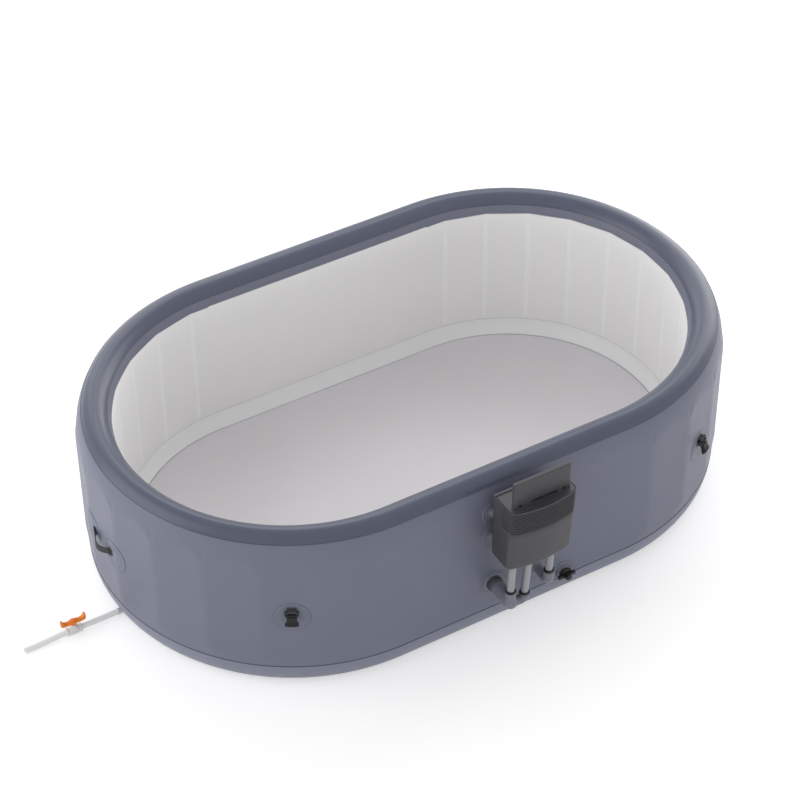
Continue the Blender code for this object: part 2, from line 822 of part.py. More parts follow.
def along_of(spot):
    """Return the running length of the wall point nearest to a plan point."""
    best = None
    for i in range(len(COLUMNS)):
        here, there = COLUMNS[i][0], COLUMNS[(i + 1) % len(COLUMNS)][0]
        run = there - here
        share = max(0.0, min(1.0, (Vector(spot) - here).dot(run) / run.length_squared))
        distance = (here + run * share - Vector(spot)).length
        if best is None or distance < best[0]:
            best = (distance, OUTLINE[i] + share * run.length)
    return best[1]


def wall_frame(along, height, lift):
    """Return a frame on the wall: local X along it, local -Y outwards, Z up."""
    spot = on_wall(along, height, lift)
    step = OVERRUN
    run = (on_wall(along + step, height, 0.0) - on_wall(along - step, height, 0.0)).normalized()
    up = Vector((0.0, 0.0, 1.0))
    inward = up.cross(run).normalized()
    frame = Matrix((run, inward, up)).transposed().to_4x4()
    return Matrix.Translation(spot) @ frame


def patch_mesh(name, along, height, radius):
    """Return a round welded patch that lies on the wall and folds along its facets."""
    work = bmesh.new()
    work.faces.new([work.verts.new((x, z, 0.0)) for x, z in circle(radius, PATCH_SIDES)])
    for edge in OUTLINE:
        if abs(edge - along) < radius:
            geometry = work.verts[:] + work.edges[:] + work.faces[:]
            bmesh.ops.bisect_plane(work, geom=geometry, dist=MERGE, plane_co=(edge - along, 0.0, 0.0),
                                   plane_no=(1.0, 0.0, 0.0))
    for vert in work.verts:
        vert.co = on_wall(along + vert.co.x, height + vert.co.y, PATCH_LIFT)
    bmesh.ops.recalc_face_normals(work, faces=work.faces)
    work.normal_update()
    mesh = bpy.data.meshes.new(name)
    work.to_mesh(mesh)
    work.free()
    holder = bpy.data.objects.new(name, mesh)
    bpy.context.scene.collection.objects.link(holder)
    outward = on_wall(along, height, 1.0) - on_wall(along, height, 0.0)
    facing_out = mesh.polygons[0].normal.dot(outward) > 0
    thicken(holder, SKIN, 1.0 if facing_out else -1.0)
    return bake(holder)


def buckle_outline():
    """Return the outline of the buckle in local X and Z, with the hinge bar at the origin."""
    frame_half = BUCKLE_SLOT_WIDTH / 2 + BUCKLE_ARM
    top = BUCKLE_BAR / 2
    shoulder = top - BUCKLE_BAR - BUCKLE_SLOT
    waist_high = shoulder - BUCKLE_BAR * 2
    waist_low = waist_high - BUCKLE_WAIST_LENGTH
    bottom = top - BUCKLE_LENGTH
    half = [
        (frame_half - BUCKLE_ARM, top),
        (frame_half, top - BUCKLE_BAR),
        (frame_half, shoulder),
        (BUCKLE_WAIST / 2, waist_high),
        (BUCKLE_WAIST / 2, waist_low),
        (BUCKLE_FLARE / 2, waist_low - BUCKLE_ARM * 2),
        (BUCKLE_FLARE / 2, bottom + BUCKLE_ARM / 2),
        (BUCKLE_FLARE / 2 - BUCKLE_ARM / 2, bottom),
    ]
    return half + [(-x, z) for x, z in reversed(half)]


def build_buckle(place_name, along, height):
    """Build a side-release buckle socket that swings on the webbing tab of a wall patch."""
    name = f"buckle_{place_name}"
    tilt = Matrix.Rotation(-math.radians(BUCKLE_TILT_DEG), 4, "X")
    frame = wall_frame(along, height + BUCKLE_RAISE, PATCH_LIFT + BUCKLE_STAND_OFF) @ tilt
    upright = frame @ Matrix.Rotation(math.pi / 2, 4, "X")
    slot_high = -BUCKLE_BAR / 2
    slot_low = slot_high - BUCKLE_SLOT
    half = BUCKLE_SLOT_WIDTH / 2
    item = place(name, flat_mesh(name, buckle_outline(), BUCKLE_FRAME), "black_plastic", upright)
    slot_name = f"{name}_slot"
    slot = box_mesh(slot_name, (-half, -BUCKLE_BODY, slot_low), (half, BUCKLE_BODY, slot_high))
    boolean(item, cutter(slot_name, slot, frame), "DIFFERENCE")
    bottom = BUCKLE_BAR / 2 - BUCKLE_LENGTH
    block_top = slot_low - BUCKLE_BAR
    block_half = BUCKLE_WAIST / 2 - BUCKLE_STEP
    outer_y = BUCKLE_FRAME / 2 - BUCKLE_BODY
    block = cutter(f"{name}_block", box_mesh(f"{name}_block", (-block_half, outer_y, bottom + GAP),
                                             (block_half, 0.0, block_top)), frame)
    boolean(item, block, "UNION")
    build_tab(place_name, along, height)


def build_tab(place_name, along, height):
    """Build the welded patch and the webbing loop that holds a buckle's bar."""
    name = f"buckle_tab_{place_name}"
    item = place(name, patch_mesh(name, along, height, PATCH_RADIUS), "slate_pvc")
    inner = math.hypot(BUCKLE_FRAME / 2, BUCKLE_BAR / 2) + GAP
    outer = inner + WEBBING
    root = BUCKLE_STAND_OFF - SKIN / 2
    loop = []
    for i in range(LOOP_STEPS + 1):
        angle = math.pi * (i / LOOP_STEPS - 1 / 2)
        loop.append((-outer * math.cos(angle), outer * math.sin(angle)))
    loop += [(root, outer), (root, -outer)]
    frame = wall_frame(along, height + BUCKLE_RAISE, PATCH_LIFT + BUCKLE_STAND_OFF)
    sideways = frame @ Matrix.Rotation(math.pi / 2, 4, "Z") @ Matrix.Rotation(math.pi / 2, 4, "X")
    tool = cutter(f"{name}_loop", flat_mesh(f"{name}_loop", loop, WEBBING_WIDTH), sideways)
    boolean(item, tool, "UNION")
    eye = rod_mesh(f"{name}_eye", inner, -WEBBING_WIDTH, WEBBING_WIDTH, SIDES_SMALL)
    boolean(item, cutter(f"{name}_eye", eye, sideways), "DIFFERENCE")


def build_handle(end_name, side):
    """Build a carry strap sewn to two welded patches at one end of the tub."""
    along = along_of((side * TUB_LENGTH / 2, 0.0))
    for patch_name, offset in (("near", -side * HANDLE_PATCH_OFFSET), ("far", side * HANDLE_PATCH_OFFSET)):
        name = f"handle_patch_{end_name}_{patch_name}"
        place(name, patch_mesh(name, along + offset, HANDLE_HEIGHT, PATCH_RADIUS), "slate_pvc")
    seat = PATCH_LIFT + SKIN + GAP
    stations = [(-HANDLE_HALF_SPAN - HANDLE_TAIL, 0.0)]
    for i in range(HANDLE_STEPS + 1):
        share = i / HANDLE_STEPS
        bow = math.sin(math.pi * share) ** HANDLE_BOW_POWER if 0 < i < HANDLE_STEPS else 0.0
        stations.append((HANDLE_HALF_SPAN * (2 * share - 1), bow))
    stations.append((HANDLE_HALF_SPAN + HANDLE_TAIL, 0.0))
    points = []
    for run, bow in stations:
        for edge in (-0.5, 0.5):
            drop = HANDLE_DROOP * bow
            lean = edge * HANDLE_WIDTH
            lift = seat + HANDLE_BOW * bow + HANDLE_THICKNESS * bow * (0.5 - edge)
            points.append(on_wall(along + run, HANDLE_HEIGHT + lean - drop, lift))
    faces = [(2 * i, 2 * i + 2, 2 * i + 3, 2 * i + 1) for i in range(len(stations) - 1)]
    name = f"handle_strap_{end_name}"
    return thicken(place(name, mesh_from(name, points, faces), "webbing"), HANDLE_THICKNESS, 1.0)


# Water fittings


OUTWARD = (0.0, -1.0, 0.0)
POOLWARD = (0.0, 1.0, 0.0)


def wall_tube(name, x, z, tube, bore, out, finish):
    """Build a flanged tube that passes through the inflated wall."""
    profile = [
        (tube, out),
        (tube, GAP + FLANGE_THICKNESS),
        (FLANGE_RADIUS, GAP + FLANGE_THICKNESS),
        (FLANGE_RADIUS, GAP),
        (tube, GAP),
        (tube, -SIDE_WALL - INNER_REACH),
        (bore, -SIDE_WALL - INNER_REACH),
        (bore, out),
    ]
    return turned(name, profile, finish, facing(OUTWARD, (x, FRONT_FACE, z)), closed=True)


def pierce(skin, name, radius, x, z, face, sides=SIDES):
    """Cut a clearance hole for a wall tube through a sheet on the front wall."""
    start = (x, face + OVERRUN, z)
    drill(skin, name, clear_radius(radius, sides), start, OUTWARD, OVERRUN * 2, sides)


def build_nut():
    """Build the union nut, whose outside has grip lobes, behind the tee."""
    outline = []
    for i in range(NUT_LOBES * LOBE_POINTS):
        angle = 2 * math.pi * i / (NUT_LOBES * LOBE_POINTS)
        radius = NUT_RADIUS if i % LOBE_POINTS < LOBE_POINTS / 2 else NUT_RADIUS - NUT_LOBE_DEPTH
        outline.append((radius * math.cos(angle), radius * math.sin(angle)))
    mesh = flat_mesh("union_nut", outline, NUT_LENGTH)
    middle = FRONT_FACE - FLANGE_THICKNESS - 2 * GAP - NUT_LENGTH / 2
    item = place("union_nut", mesh, "black_plastic", facing(OUTWARD, (INLET_X, middle, INLET_Z)))
    start = (INLET_X, middle + NUT_LENGTH / 2 + OVERRUN, INLET_Z)
    drill(item, "nut_bore", clear_radius(INLET_TUBE, SIDES), start, OUTWARD, NUT_LENGTH + 2 * OVERRUN, SIDES)
    return item


def build_wall_fittings(outer, liner):
    """Build the inlet and return tubes, their nut and the fittings in the pool."""
    for name, x, z, tube, bore, out in (
            ("wall_flange_inlet", INLET_X, INLET_Z, INLET_TUBE, INLET_BORE, INLET_OUT),
            ("wall_flange_return", RETURN_X, RETURN_Z, RETURN_TUBE, RETURN_BORE, RETURN_OUT)):
        wall_tube(name, x, z, tube, bore, out, "slate_plastic")
        pierce(outer, f"{name}_outer_hole", tube, x, z, FRONT_FACE)
        pierce(liner, f"{name}_liner_hole", tube, x, z, POOL_FACE)
    build_nut()
    build_strainer()
    build_nozzle()


def build_strainer():
    """Build the inlet strainer that screws on inside the pool."""
    fit = clear_radius(INLET_TUBE, SIDES_SMALL)
    wall = PLASTIC
    inner = STRAINER_RADIUS - wall
    profile = [
        (0.0, STRAINER_LENGTH),
        (STRAINER_RADIUS - wall * 2, STRAINER_LENGTH),
        (STRAINER_RADIUS, STRAINER_LENGTH - wall * 2),
        (STRAINER_RADIUS, GAP + wall * 2),
        (STRAINER_FLANGE, GAP + wall),
        (STRAINER_FLANGE, GAP),
        (fit, GAP),
        (fit, INNER_REACH + wall),
        (inner, INNER_REACH + wall * 2),
        (inner, STRAINER_LENGTH - wall * 2),
        (inner - wall, STRAINER_LENGTH - wall),
        (0.0, STRAINER_LENGTH - wall),
    ]
    item = turned("inlet_strainer", profile, "pale_weld", facing(POOLWARD, (INLET_X, POOL_FACE, INLET_Z)),
                  sides=SIDES_SMALL)
    for i, (x, z) in enumerate([(0.0, 0.0)] + circle(STRAINER_RING, STRAINER_HOLES)):
        start = (INLET_X + x, POOL_FACE + STRAINER_LENGTH - wall - OVERRUN / 2, INLET_Z + z)
        drill(item, f"strainer_hole_{i}", STRAINER_HOLE, start, POOLWARD, wall + OVERRUN, STRAINER_HOLE_SIDES)


def build_nozzle():
    """Build the return nozzle that sends warm water into the pool."""
    fit = clear_radius(RETURN_TUBE, SIDES_SMALL)
    profile = [
        (NOZZLE_BORE + PLASTIC, NOZZLE_LENGTH),
        (NOZZLE_RADIUS - PLASTIC, NOZZLE_LENGTH - PLASTIC),
        (NOZZLE_RADIUS, NOZZLE_LENGTH - PLASTIC * 3),
        (NOZZLE_FLANGE, GAP + PLASTIC),
        (NOZZLE_FLANGE, GAP),
        (fit, GAP),
        (fit, INNER_REACH + GAP),
        (NOZZLE_BORE, INNER_REACH + GAP),
        (NOZZLE_BORE, NOZZLE_LENGTH),
    ]
    matrix = facing(POOLWARD, (RETURN_X, POOL_FACE, RETURN_Z))
    return turned("return_nozzle", profile, "pale_weld", matrix, closed=True, sides=SIDES_SMALL)


def fitting(name, runs, bores, finish):
    """Build a hollow pipe fitting: joined solid runs, less the bores inside them."""
    first = runs[0]
    item = place(name, tube_mesh(name, *first), finish)
    for i, run in enumerate(runs[1:]):
        boolean(item, cutter(f"{name}_run_{i}", tube_mesh(f"{name}_run_{i}", *run)), "UNION")
    for i, bore in enumerate(bores):
        boolean(item, cutter(f"{name}_bore_{i}", tube_mesh(f"{name}_bore_{i}", *bore)), "DIFFERENCE")
    return item


def collar_run(points, radius, collar, height):
    """Return route points and radii whose last stretch swells into a collar."""
    end = Vector(points[-1])
    direction = (end - Vector(points[-2])).normalized()
    step = height * COLLAR_STEP_SHARE
    neck = end - direction * height
    route = [Vector(point) for point in points[:-1]] + [neck, neck + direction * step, end]
    radii = [radius] * (len(points)) + [collar, collar]
    return route, radii


def build_fittings():
    """Build the tee, the two elbows, the hoses and their clamps."""
    tee_start = FRONT_FACE - INLET_OUT - GAP
    nose = TEE_Y - TEE_RADIUS * TEE_BULGE_SHARE
    shoulder = nose + OVERRUN
    main = ([(INLET_X, tee_start, INLET_Z), (INLET_X, shoulder, INLET_Z), (INLET_X, nose, INLET_Z)],
            [TEE_RADIUS, TEE_RADIUS, TEE_RADIUS * TEE_NOSE_SHARE])
    rise = collar_run([(INLET_X, TEE_Y, INLET_Z), (INLET_X, TEE_Y, TEE_TOP)],
                      TEE_COLLAR - CLAMP_THICKNESS / 2, TEE_COLLAR, COLLAR_HEIGHT)
    inset = INLET_X - OVERRUN
    branch = ([(inset, TEE_Y, MID_Z), (BRANCH_END, TEE_Y, MID_Z)], [MID_RADIUS, MID_RADIUS])
    inward = [(INLET_X, tee_start + OVERRUN, INLET_Z), (INLET_X, TEE_Y - OVERRUN, INLET_Z)]
    upward = [(INLET_X, TEE_Y, INLET_Z), (INLET_X, TEE_Y, TEE_TOP + OVERRUN)]
    sideways = [(inset, TEE_Y, MID_Z), (BRANCH_END + OVERRUN, TEE_Y, MID_Z)]
    bores = [(inward, [TEE_BORE] * 2), (upward, [HOSE_BORE] * 2), (sideways, [BARB_BORE] * 2)]
    fitting("tee_elbow", [main, rise, branch], bores, "slate_plastic")
    mid_start = (BRANCH_END + GAP, TEE_Y, MID_Z)
    mid_route = bend(mid_start, (MID_X, TEE_Y, MID_Z), (MID_X, TEE_Y, MID_TOP), MID_BEND)
    mid_bore = [mid_route[0] - Vector((OVERRUN, 0.0, 0.0))] + mid_route[1:-1]
    mid_bore.append(mid_route[-1] + Vector((0.0, 0.0, OVERRUN)))
    fitting("elbow_mid", [collar_run(mid_route, MID_RADIUS, MID_COLLAR, COLLAR_HEIGHT / 2)],
            [(mid_bore, [BARB_BORE] * len(mid_bore))], "slate_plastic")
    return_start = FRONT_FACE - RETURN_OUT - GAP
    return_route = bend((RETURN_X, return_start, RETURN_Z), (RETURN_X, RETURN_Y, RETURN_Z),
                        (RETURN_X, RETURN_Y, RETURN_TOP), RETURN_BEND)
    return_bore = [return_route[0] + Vector((0.0, OVERRUN, 0.0))] + return_route[1:-1]
    return_bore.append(return_route[-1] + Vector((0.0, 0.0, OVERRUN)))
    fitting("elbow_return", [collar_run(return_route, RETURN_RADIUS, RETURN_COLLAR, COLLAR_HEIGHT)],
            [(return_bore, [BARB_BORE] * len(return_bore))], "slate_plastic")
    hose_top = CASE_BOTTOM - GAP
    build_hose("left", (INLET_X, TEE_Y, TEE_TOP + GAP), (PUMP_X, PUMP_Y, hose_top))
    build_hose("mid", (MID_X, TEE_Y, MID_TOP + GAP), (BLOWER_X, BLOWER_PIPE_Y, hose_top))
    build_hose("right", (RETURN_X, RETURN_Y, RETURN_TOP + GAP), (HEATER_X, HEATER_Y, hose_top))


def build_hose(side, low, high):
    """Build one hose from a collar up to the case, and the clamp at its foot."""
    low, high = Vector(low), Vector(high)
    foot = Vector((0.0, 0.0, HOSE_FOOT))
    head = Vector((0.0, 0.0, CASE_BOTTOM - BARB_LOW + BARB_TIP))
    rise = Vector((0.0, 0.0, (high.z - low.z - foot.z - head.z) / 3))
    name = f"hose_{side}"
    route = (low, low + foot, low + foot + rise, high - head - rise, high - head, high)
    points = hose_points(route, HOSE_POINTS)
    curve = route_curve(name, points, [HOSE_RADIUS] * len(points), False)
    holder = bpy.data.objects.new(name, curve)
    bpy.context.scene.collection.objects.link(holder)
    thicken(holder, HOSE_RADIUS - HOSE_BORE)
    place(name, bake(holder), "hose")
    clamp = ring_profile(HOSE_RADIUS + GAP, HOSE_RADIUS + GAP + CLAMP_THICKNESS, 0.0, CLAMP_WIDTH)
    turned(f"hose_clamp_{side}", clamp, "black_plastic", Matrix.Translation(low), closed=True)


# Pump unit


def case_outline(inset, front, rear):
    """Return plan points from the rear left corner round the bowed front to the rear right."""
    half = CASE_HALF - inset
    front = front + inset
    corner = CASE_CORNER
    right = [(half, rear), (half, front + corner)]
    for i in range(1, CASE_CORNER_STEPS + 1):
        angle = math.pi / 2 * i / CASE_CORNER_STEPS
        right.append((half - corner + corner * math.cos(angle), front + corner - corner * math.sin(angle)))
    span = half - corner
    middle = []
    for i in range(1, CASE_BOW_STEPS):
        x = span * (1 - 2 * i / CASE_BOW_STEPS)
        middle.append((x, front))
    points = right + middle + [(-x, y) for x, y in reversed(right)]
    bowed = []
    for x, y in points:
        share = max(0.0, 1 - (x / half) ** 2)
        reach = (rear - y) / (rear - front)
        bowed.append((CASE_X + x, y - CASE_BOW * share * reach))
    return bowed[::-1]


def case_front_at(height):
    """Return how far forward the case's corners are at a height."""
    share = (height - CASE_BOTTOM) / (CASE_TOP - CASE_BOTTOM)
    return CASE_FRONT_LOW + (CASE_FRONT_HIGH - CASE_FRONT_LOW) * share


def build_case_front():
    """Build the bowed front shell with its bottom and the lip round the open top."""
    rear = CASE_BACK - CASE_REAR_DEPTH - GAP
    rows = []
    for height, inset in ((CASE_BOTTOM, 0.0), (CASE_BELT, 0.0), (CASE_TOP, 0.0), (CASE_TOP, CASE_LIP)):
        rows.append([Vector((x, y, height)) for x, y in case_outline(inset, case_front_at(height), rear)])
    count = len(rows[0])
    points = [point for row in rows for point in row]
    faces = []
    for row in range(len(rows) - 1):
        for i in range(count - 1):
            a, b = row * count, (row + 1) * count
            faces.append((a + i, a + i + 1, b + i + 1, b + i))
    faces.append(tuple(range(count))[::-1])
    item = place("case_front", mesh_from("case_front", points, faces), "case_plastic")
    thicken(item, PLASTIC)
    for name, x, y in (
            ("pump", PUMP_X, PUMP_Y),
            ("blower", BLOWER_X, BLOWER_PIPE_Y),
            ("heater", HEATER_X, HEATER_Y)):
        start = (x, y, CASE_BOTTOM - OVERRUN)
        drill(item, f"case_hole_{name}", BARB_HOLE, start, (0.0, 0.0, 1.0), OVERRUN * 2 + PLASTIC)
    return item


def build_case_rear():
    """Build the shallow rear shell that leans on the air unions."""
    left, right = CASE_X - CASE_HALF, CASE_X + CASE_HALF
    open_y = CASE_BACK - CASE_REAR_DEPTH
    points = []
    for y in (CASE_BACK, open_y):
        points += [(left, y, CASE_BOTTOM), (right, y, CASE_BOTTOM), (right, y, CASE_TOP), (left, y, CASE_TOP)]
    faces = [(3, 2, 1, 0), (0, 1, 5, 4), (1, 2, 6, 5), (2, 3, 7, 6), (3, 0, 4, 7)]
    item = place("case_rear", mesh_from("case_rear", points, faces), "case_plastic")
    thicken(item, PLASTIC)
    for name, z in (("upper", UNION_HIGH_Z), ("lower", UNION_LOW_Z)):
        start = (UNION_X, CASE_BACK + OVERRUN, z)
        hole = clear_radius(UNION_TUBE, SIDES_SMALL)
        drill(item, f"case_rear_hole_{name}", hole, start, OUTWARD, OVERRUN * 2 + PLASTIC)
    return item


def build_tray():
    """Build the recessed deck in the open top, with the two ears of the panel hinge."""
    rear = CASE_BACK - CASE_REAR_DEPTH - GAP
    outline = case_outline(TRAY_CLEAR, case_front_at(TRAY_LEVEL), rear)
    mesh = flat_mesh("top_tray", outline, TRAY_THICKNESS)
    mesh.transform(Matrix.Translation((0.0, 0.0, TRAY_LEVEL - TRAY_THICKNESS / 2)))
    item = place("top_tray", mesh, "case_plastic")
    ear_start = PANEL_BARREL_HALF + GAP
    for side in (-1, 1):
        edges = sorted((CASE_X + side * ear_start, CASE_X + side * (ear_start + EAR_WIDTH)))
        name = f"tray_ear_{'left' if side < 0 else 'right'}"
        drop = PANEL_AXIS_Z - TRAY_LEVEL + TRAY_THICKNESS / 2
        outline = [(EAR_HALF_DEPTH * math.cos(math.pi * i / EAR_STEPS),
                    EAR_HALF_DEPTH * math.sin(math.pi * i / EAR_STEPS)) for i in range(EAR_STEPS + 1)]
        outline += [(-EAR_HALF_DEPTH, -drop), (EAR_HALF_DEPTH, -drop)]
        middle = Matrix.Translation((sum(edges) / 2, PANEL_AXIS_Y, PANEL_AXIS_Z))
        upright = middle @ Matrix.Rotation(math.pi / 2, 4, "Z") @ Matrix.Rotation(math.pi / 2, 4, "X")
        boolean(item, cutter(name, flat_mesh(name, outline, EAR_WIDTH), upright), "UNION")
        start = (edges[0] - OVERRUN / 2, PANEL_AXIS_Y, PANEL_AXIS_Z)
        drill(item, f"{name}_hole", PANEL_PIN_HOLE, start, (1.0, 0.0, 0.0), EAR_WIDTH + OVERRUN)
    return item


def build_grille():
    """Build the ribbed band that wraps the top of the case."""
    rows = []
    pitch = (GRILLE_HIGH - GRILLE_LOW) / GRILLE_RIBS
    for i in range(GRILLE_RIBS):
        base = GRILLE_LOW + pitch * i
        rows += [(base, GRILLE_RELIEF), (base + pitch * GRILLE_TOOTH_SHARE, 0.0)]
    rows.append((GRILLE_HIGH, 0.0))
    points = []
    for height, relief in rows:
        front = case_front_at(height)
        rear = front + CASE_CORNER + GRILLE_SIDE_REACH
        points += [Vector((x, y, height)) for x, y in case_outline(-GAP - relief, front, rear)]
    stations = len(points) // len(rows)
    faces = []
    for row in range(len(rows) - 1):
        for i in range(stations - 1):
            a, b = row * stations, (row + 1) * stations
            faces.append((a + i, a + i + 1, b + i + 1, b + i))
    item = place("vent_grille", mesh_from("vent_grille", points, faces), "case_plastic")
    return thicken(item, GRILLE_THICKNESS, 1.0)


def build_panel():
    """Build the tilting control panel with its hinge barrel, display recess and keys."""
    hinge = Vector((CASE_X, PANEL_AXIS_Y, PANEL_AXIS_Z))
    low = Vector((CASE_X - PANEL_WIDTH / 2, PANEL_FRONT, PANEL_LOW)) - hinge
    high = Vector((CASE_X + PANEL_WIDTH / 2, PANEL_BACK, PANEL_HIGH)) - hinge
    slab = box_mesh("control_panel", low, high)
    item = place("control_panel", slab, "case_plastic", Matrix.Translation(hinge))
    bevel = item.modifiers.new("Edges", "BEVEL")
    bevel.width = PANEL_EDGE
    bevel.segments = 1
    for name, radius, reach in (("barrel", PANEL_BARREL, 0.0), ("pin", PANEL_PIN, EAR_WIDTH)):
        half = PANEL_BARREL_HALF + reach
        rod = rod_mesh(f"panel_{name}", radius, -half, half, SIDES_SMALL)
        tool = cutter(f"panel_{name}", rod, facing((1.0, 0.0, 0.0), hinge))
        boolean(item, tool, "UNION")
    low = (CASE_X - DISPLAY_WIDTH / 2, PANEL_BACK - DISPLAY_DEPTH, DISPLAY_Z - DISPLAY_HEIGHT / 2)
    high = (CASE_X + DISPLAY_WIDTH / 2, PANEL_BACK + OVERRUN, DISPLAY_Z + DISPLAY_HEIGHT / 2)
    boolean(item, cutter("display_recess", box_mesh("display_recess", low, high)), "DIFFERENCE")
    for i, key_name in enumerate(("heat", "power", "bubbles")):
        x = CASE_X + (i - 1) * KEY_PITCH
        start = (x, PANEL_BACK - KEY_POCKET, KEY_Z)
        drill(item, f"key_hole_{key_name}", KEY_HOLE, start, POOLWARD, KEY_POCKET + OVERRUN, SIDES)
        seat = PANEL_BACK - KEY_POCKET + KEY_TRAVEL + GAP
        length = PANEL_BACK + KEY_PROUD - seat
        key = rod_mesh(f"key_{key_name}", KEY_RADIUS, 0.0, length)
        place(f"key_{key_name}", key, "key_plastic", facing(POOLWARD, (x, seat, KEY_Z)))
    return item


def build_air_unions(outer):
    """Build the two air unions that carry the pump unit off the wall."""
    reach = FRONT_FACE - CASE_BACK
    inside = PLASTIC + UNION_INSIDE
    for name, z in (("upper", UNION_HIGH_Z), ("lower", UNION_LOW_Z)):
        profile = [
            (UNION_TUBE, reach + inside),
            (UNION_TUBE, reach - GAP),
            (UNION_COLLAR, reach - GAP),
            (UNION_COLLAR, reach - GAP - UNION_STEP),
            (UNION_TUBE, reach - GAP - UNION_STEP - UNION_TAPER),
            (UNION_TUBE, UNION_STEP),
            (UNION_COLLAR, GAP + SKIN * 3),
            (UNION_PATCH, GAP + SKIN),
            (UNION_PATCH, GAP),
            (UNION_TUBE, GAP),
            (UNION_TUBE, -UNION_STEP),
            (UNION_BORE, -UNION_STEP),
            (UNION_BORE, reach + inside),
        ]
        matrix = facing(OUTWARD, (UNION_X, FRONT_FACE, z))
        turned(f"air_union_{name}", profile, "slate_plastic", matrix, closed=True, sides=SIDES_SMALL)
        pierce(outer, f"air_union_{name}_hole", UNION_TUBE, UNION_X, z, FRONT_FACE, SIDES_SMALL)


def build_air_valve(outer):
    """Build the inflation valve low on the wall, with its winged cap."""
    profile = [
        (AIR_TUBE, AIR_OUT),
        (AIR_TUBE, AIR_OUT * AIR_LIP_SHARE),
        (AIR_COLLAR, AIR_OUT * AIR_SHOULDER_SHARE),
        (AIR_COLLAR, GAP + SKIN * 2),
        (AIR_PATCH, GAP + SKIN),
        (AIR_PATCH, GAP),
        (AIR_TUBE, GAP),
        (AIR_TUBE, -AIR_INSIDE),
        (AIR_BORE, -AIR_INSIDE),
        (AIR_BORE, AIR_OUT),
    ]
    matrix = facing(OUTWARD, (AIR_VALVE_X, FRONT_FACE, AIR_VALVE_Z))
    turned("air_valve_body", profile, "slate_plastic", matrix, closed=True)
    pierce(outer, "air_valve_hole", AIR_TUBE, AIR_VALVE_X, AIR_VALVE_Z, FRONT_FACE)
    seat = AIR_OUT + GAP
    plug = AIR_BORE * math.cos(math.pi / SIDES) - GAP
    knob = [
        (0.0, CAP_OUT),
        (CAP_KNOB, CAP_OUT),
        (CAP_KNOB, seat + PLASTIC * 2),
        (CAP_FLANGE, seat + PLASTIC),
        (CAP_FLANGE, seat),
        (plug, seat),
        (plug, seat - CAP_PLUG),
        (0.0, seat - CAP_PLUG),
    ]
    item = turned("air_valve_cap", knob, "black_plastic", matrix, sides=SIDES_SMALL)
    tip = CAP_OUT - (CAP_OUT - CAP_WING_LOW) / 3
    half = [(CAP_WING_NECK, CAP_WING_LOW), (CAP_WING_HALF, tip - PLASTIC), (CAP_WING_HALF, CAP_OUT - PLASTIC)]
    outline = half + [(-x, out) for x, out in reversed(half)]
    outward = Matrix.Translation((AIR_VALVE_X, FRONT_FACE, AIR_VALVE_Z))
    lie = outward @ Matrix.Rotation(math.pi, 4, "X")
    boolean(item, cutter("cap_wings", flat_mesh("cap_wings", outline, CAP_WING_THICK), lie), "UNION")


def paddle_mesh(name, hub, tip, blades, length):
    """Return a paddle wheel along local Z from zero."""
    outline = []
    pitch = 2 * math.pi / blades
    half = pitch * BLADE_SHARE
    root = half * BLADE_ROOT_SHARE
    for i in range(blades):
        angle = pitch * i
        for radius, turn in ((hub, -root), (tip, -half), (tip, half), (hub, root)):
            outline.append((radius * math.cos(angle + turn), radius * math.sin(angle + turn)))
    mesh = flat_mesh(name, outline, length)
    mesh.transform(Matrix.Translation((0.0, 0.0, length / 2)))
    return mesh


def build_pump():
    """Build the circulation pump and its impeller."""
    base = CASE_BOTTOM + PLASTIC + GAP
    profile = [
        (0.0, MOTOR_HIGH),
        (MOTOR_RADIUS - PLASTIC, MOTOR_HIGH),
        (MOTOR_RADIUS, MOTOR_HIGH - PLASTIC),
        (MOTOR_RADIUS, VOLUTE_HIGH),
        (VOLUTE_RADIUS, VOLUTE_HIGH),
        (VOLUTE_RADIUS, base),
        (BARB, base),
        (BARB, BARB_LOW),
        (BARB_BORE, BARB_LOW),
        (BARB_BORE, CHAMBER_LOW),
        (CHAMBER_RADIUS, CHAMBER_LOW),
        (CHAMBER_RADIUS, CHAMBER_HIGH),
        (0.0, CHAMBER_HIGH),
    ]
    turned("pump_housing", profile, "motor_metal", Matrix.Translation((PUMP_X, PUMP_Y, 0.0)),
           sides=SIDES_SMALL)
    mesh = paddle_mesh("pump_impeller", IMPELLER_HUB, IMPELLER_RADIUS, IMPELLER_BLADES, IMPELLER_HEIGHT)
    seat = CHAMBER_HIGH - GAP - IMPELLER_HEIGHT
    place("pump_impeller", mesh, "black_plastic", Matrix.Translation((PUMP_X, PUMP_Y, seat)))


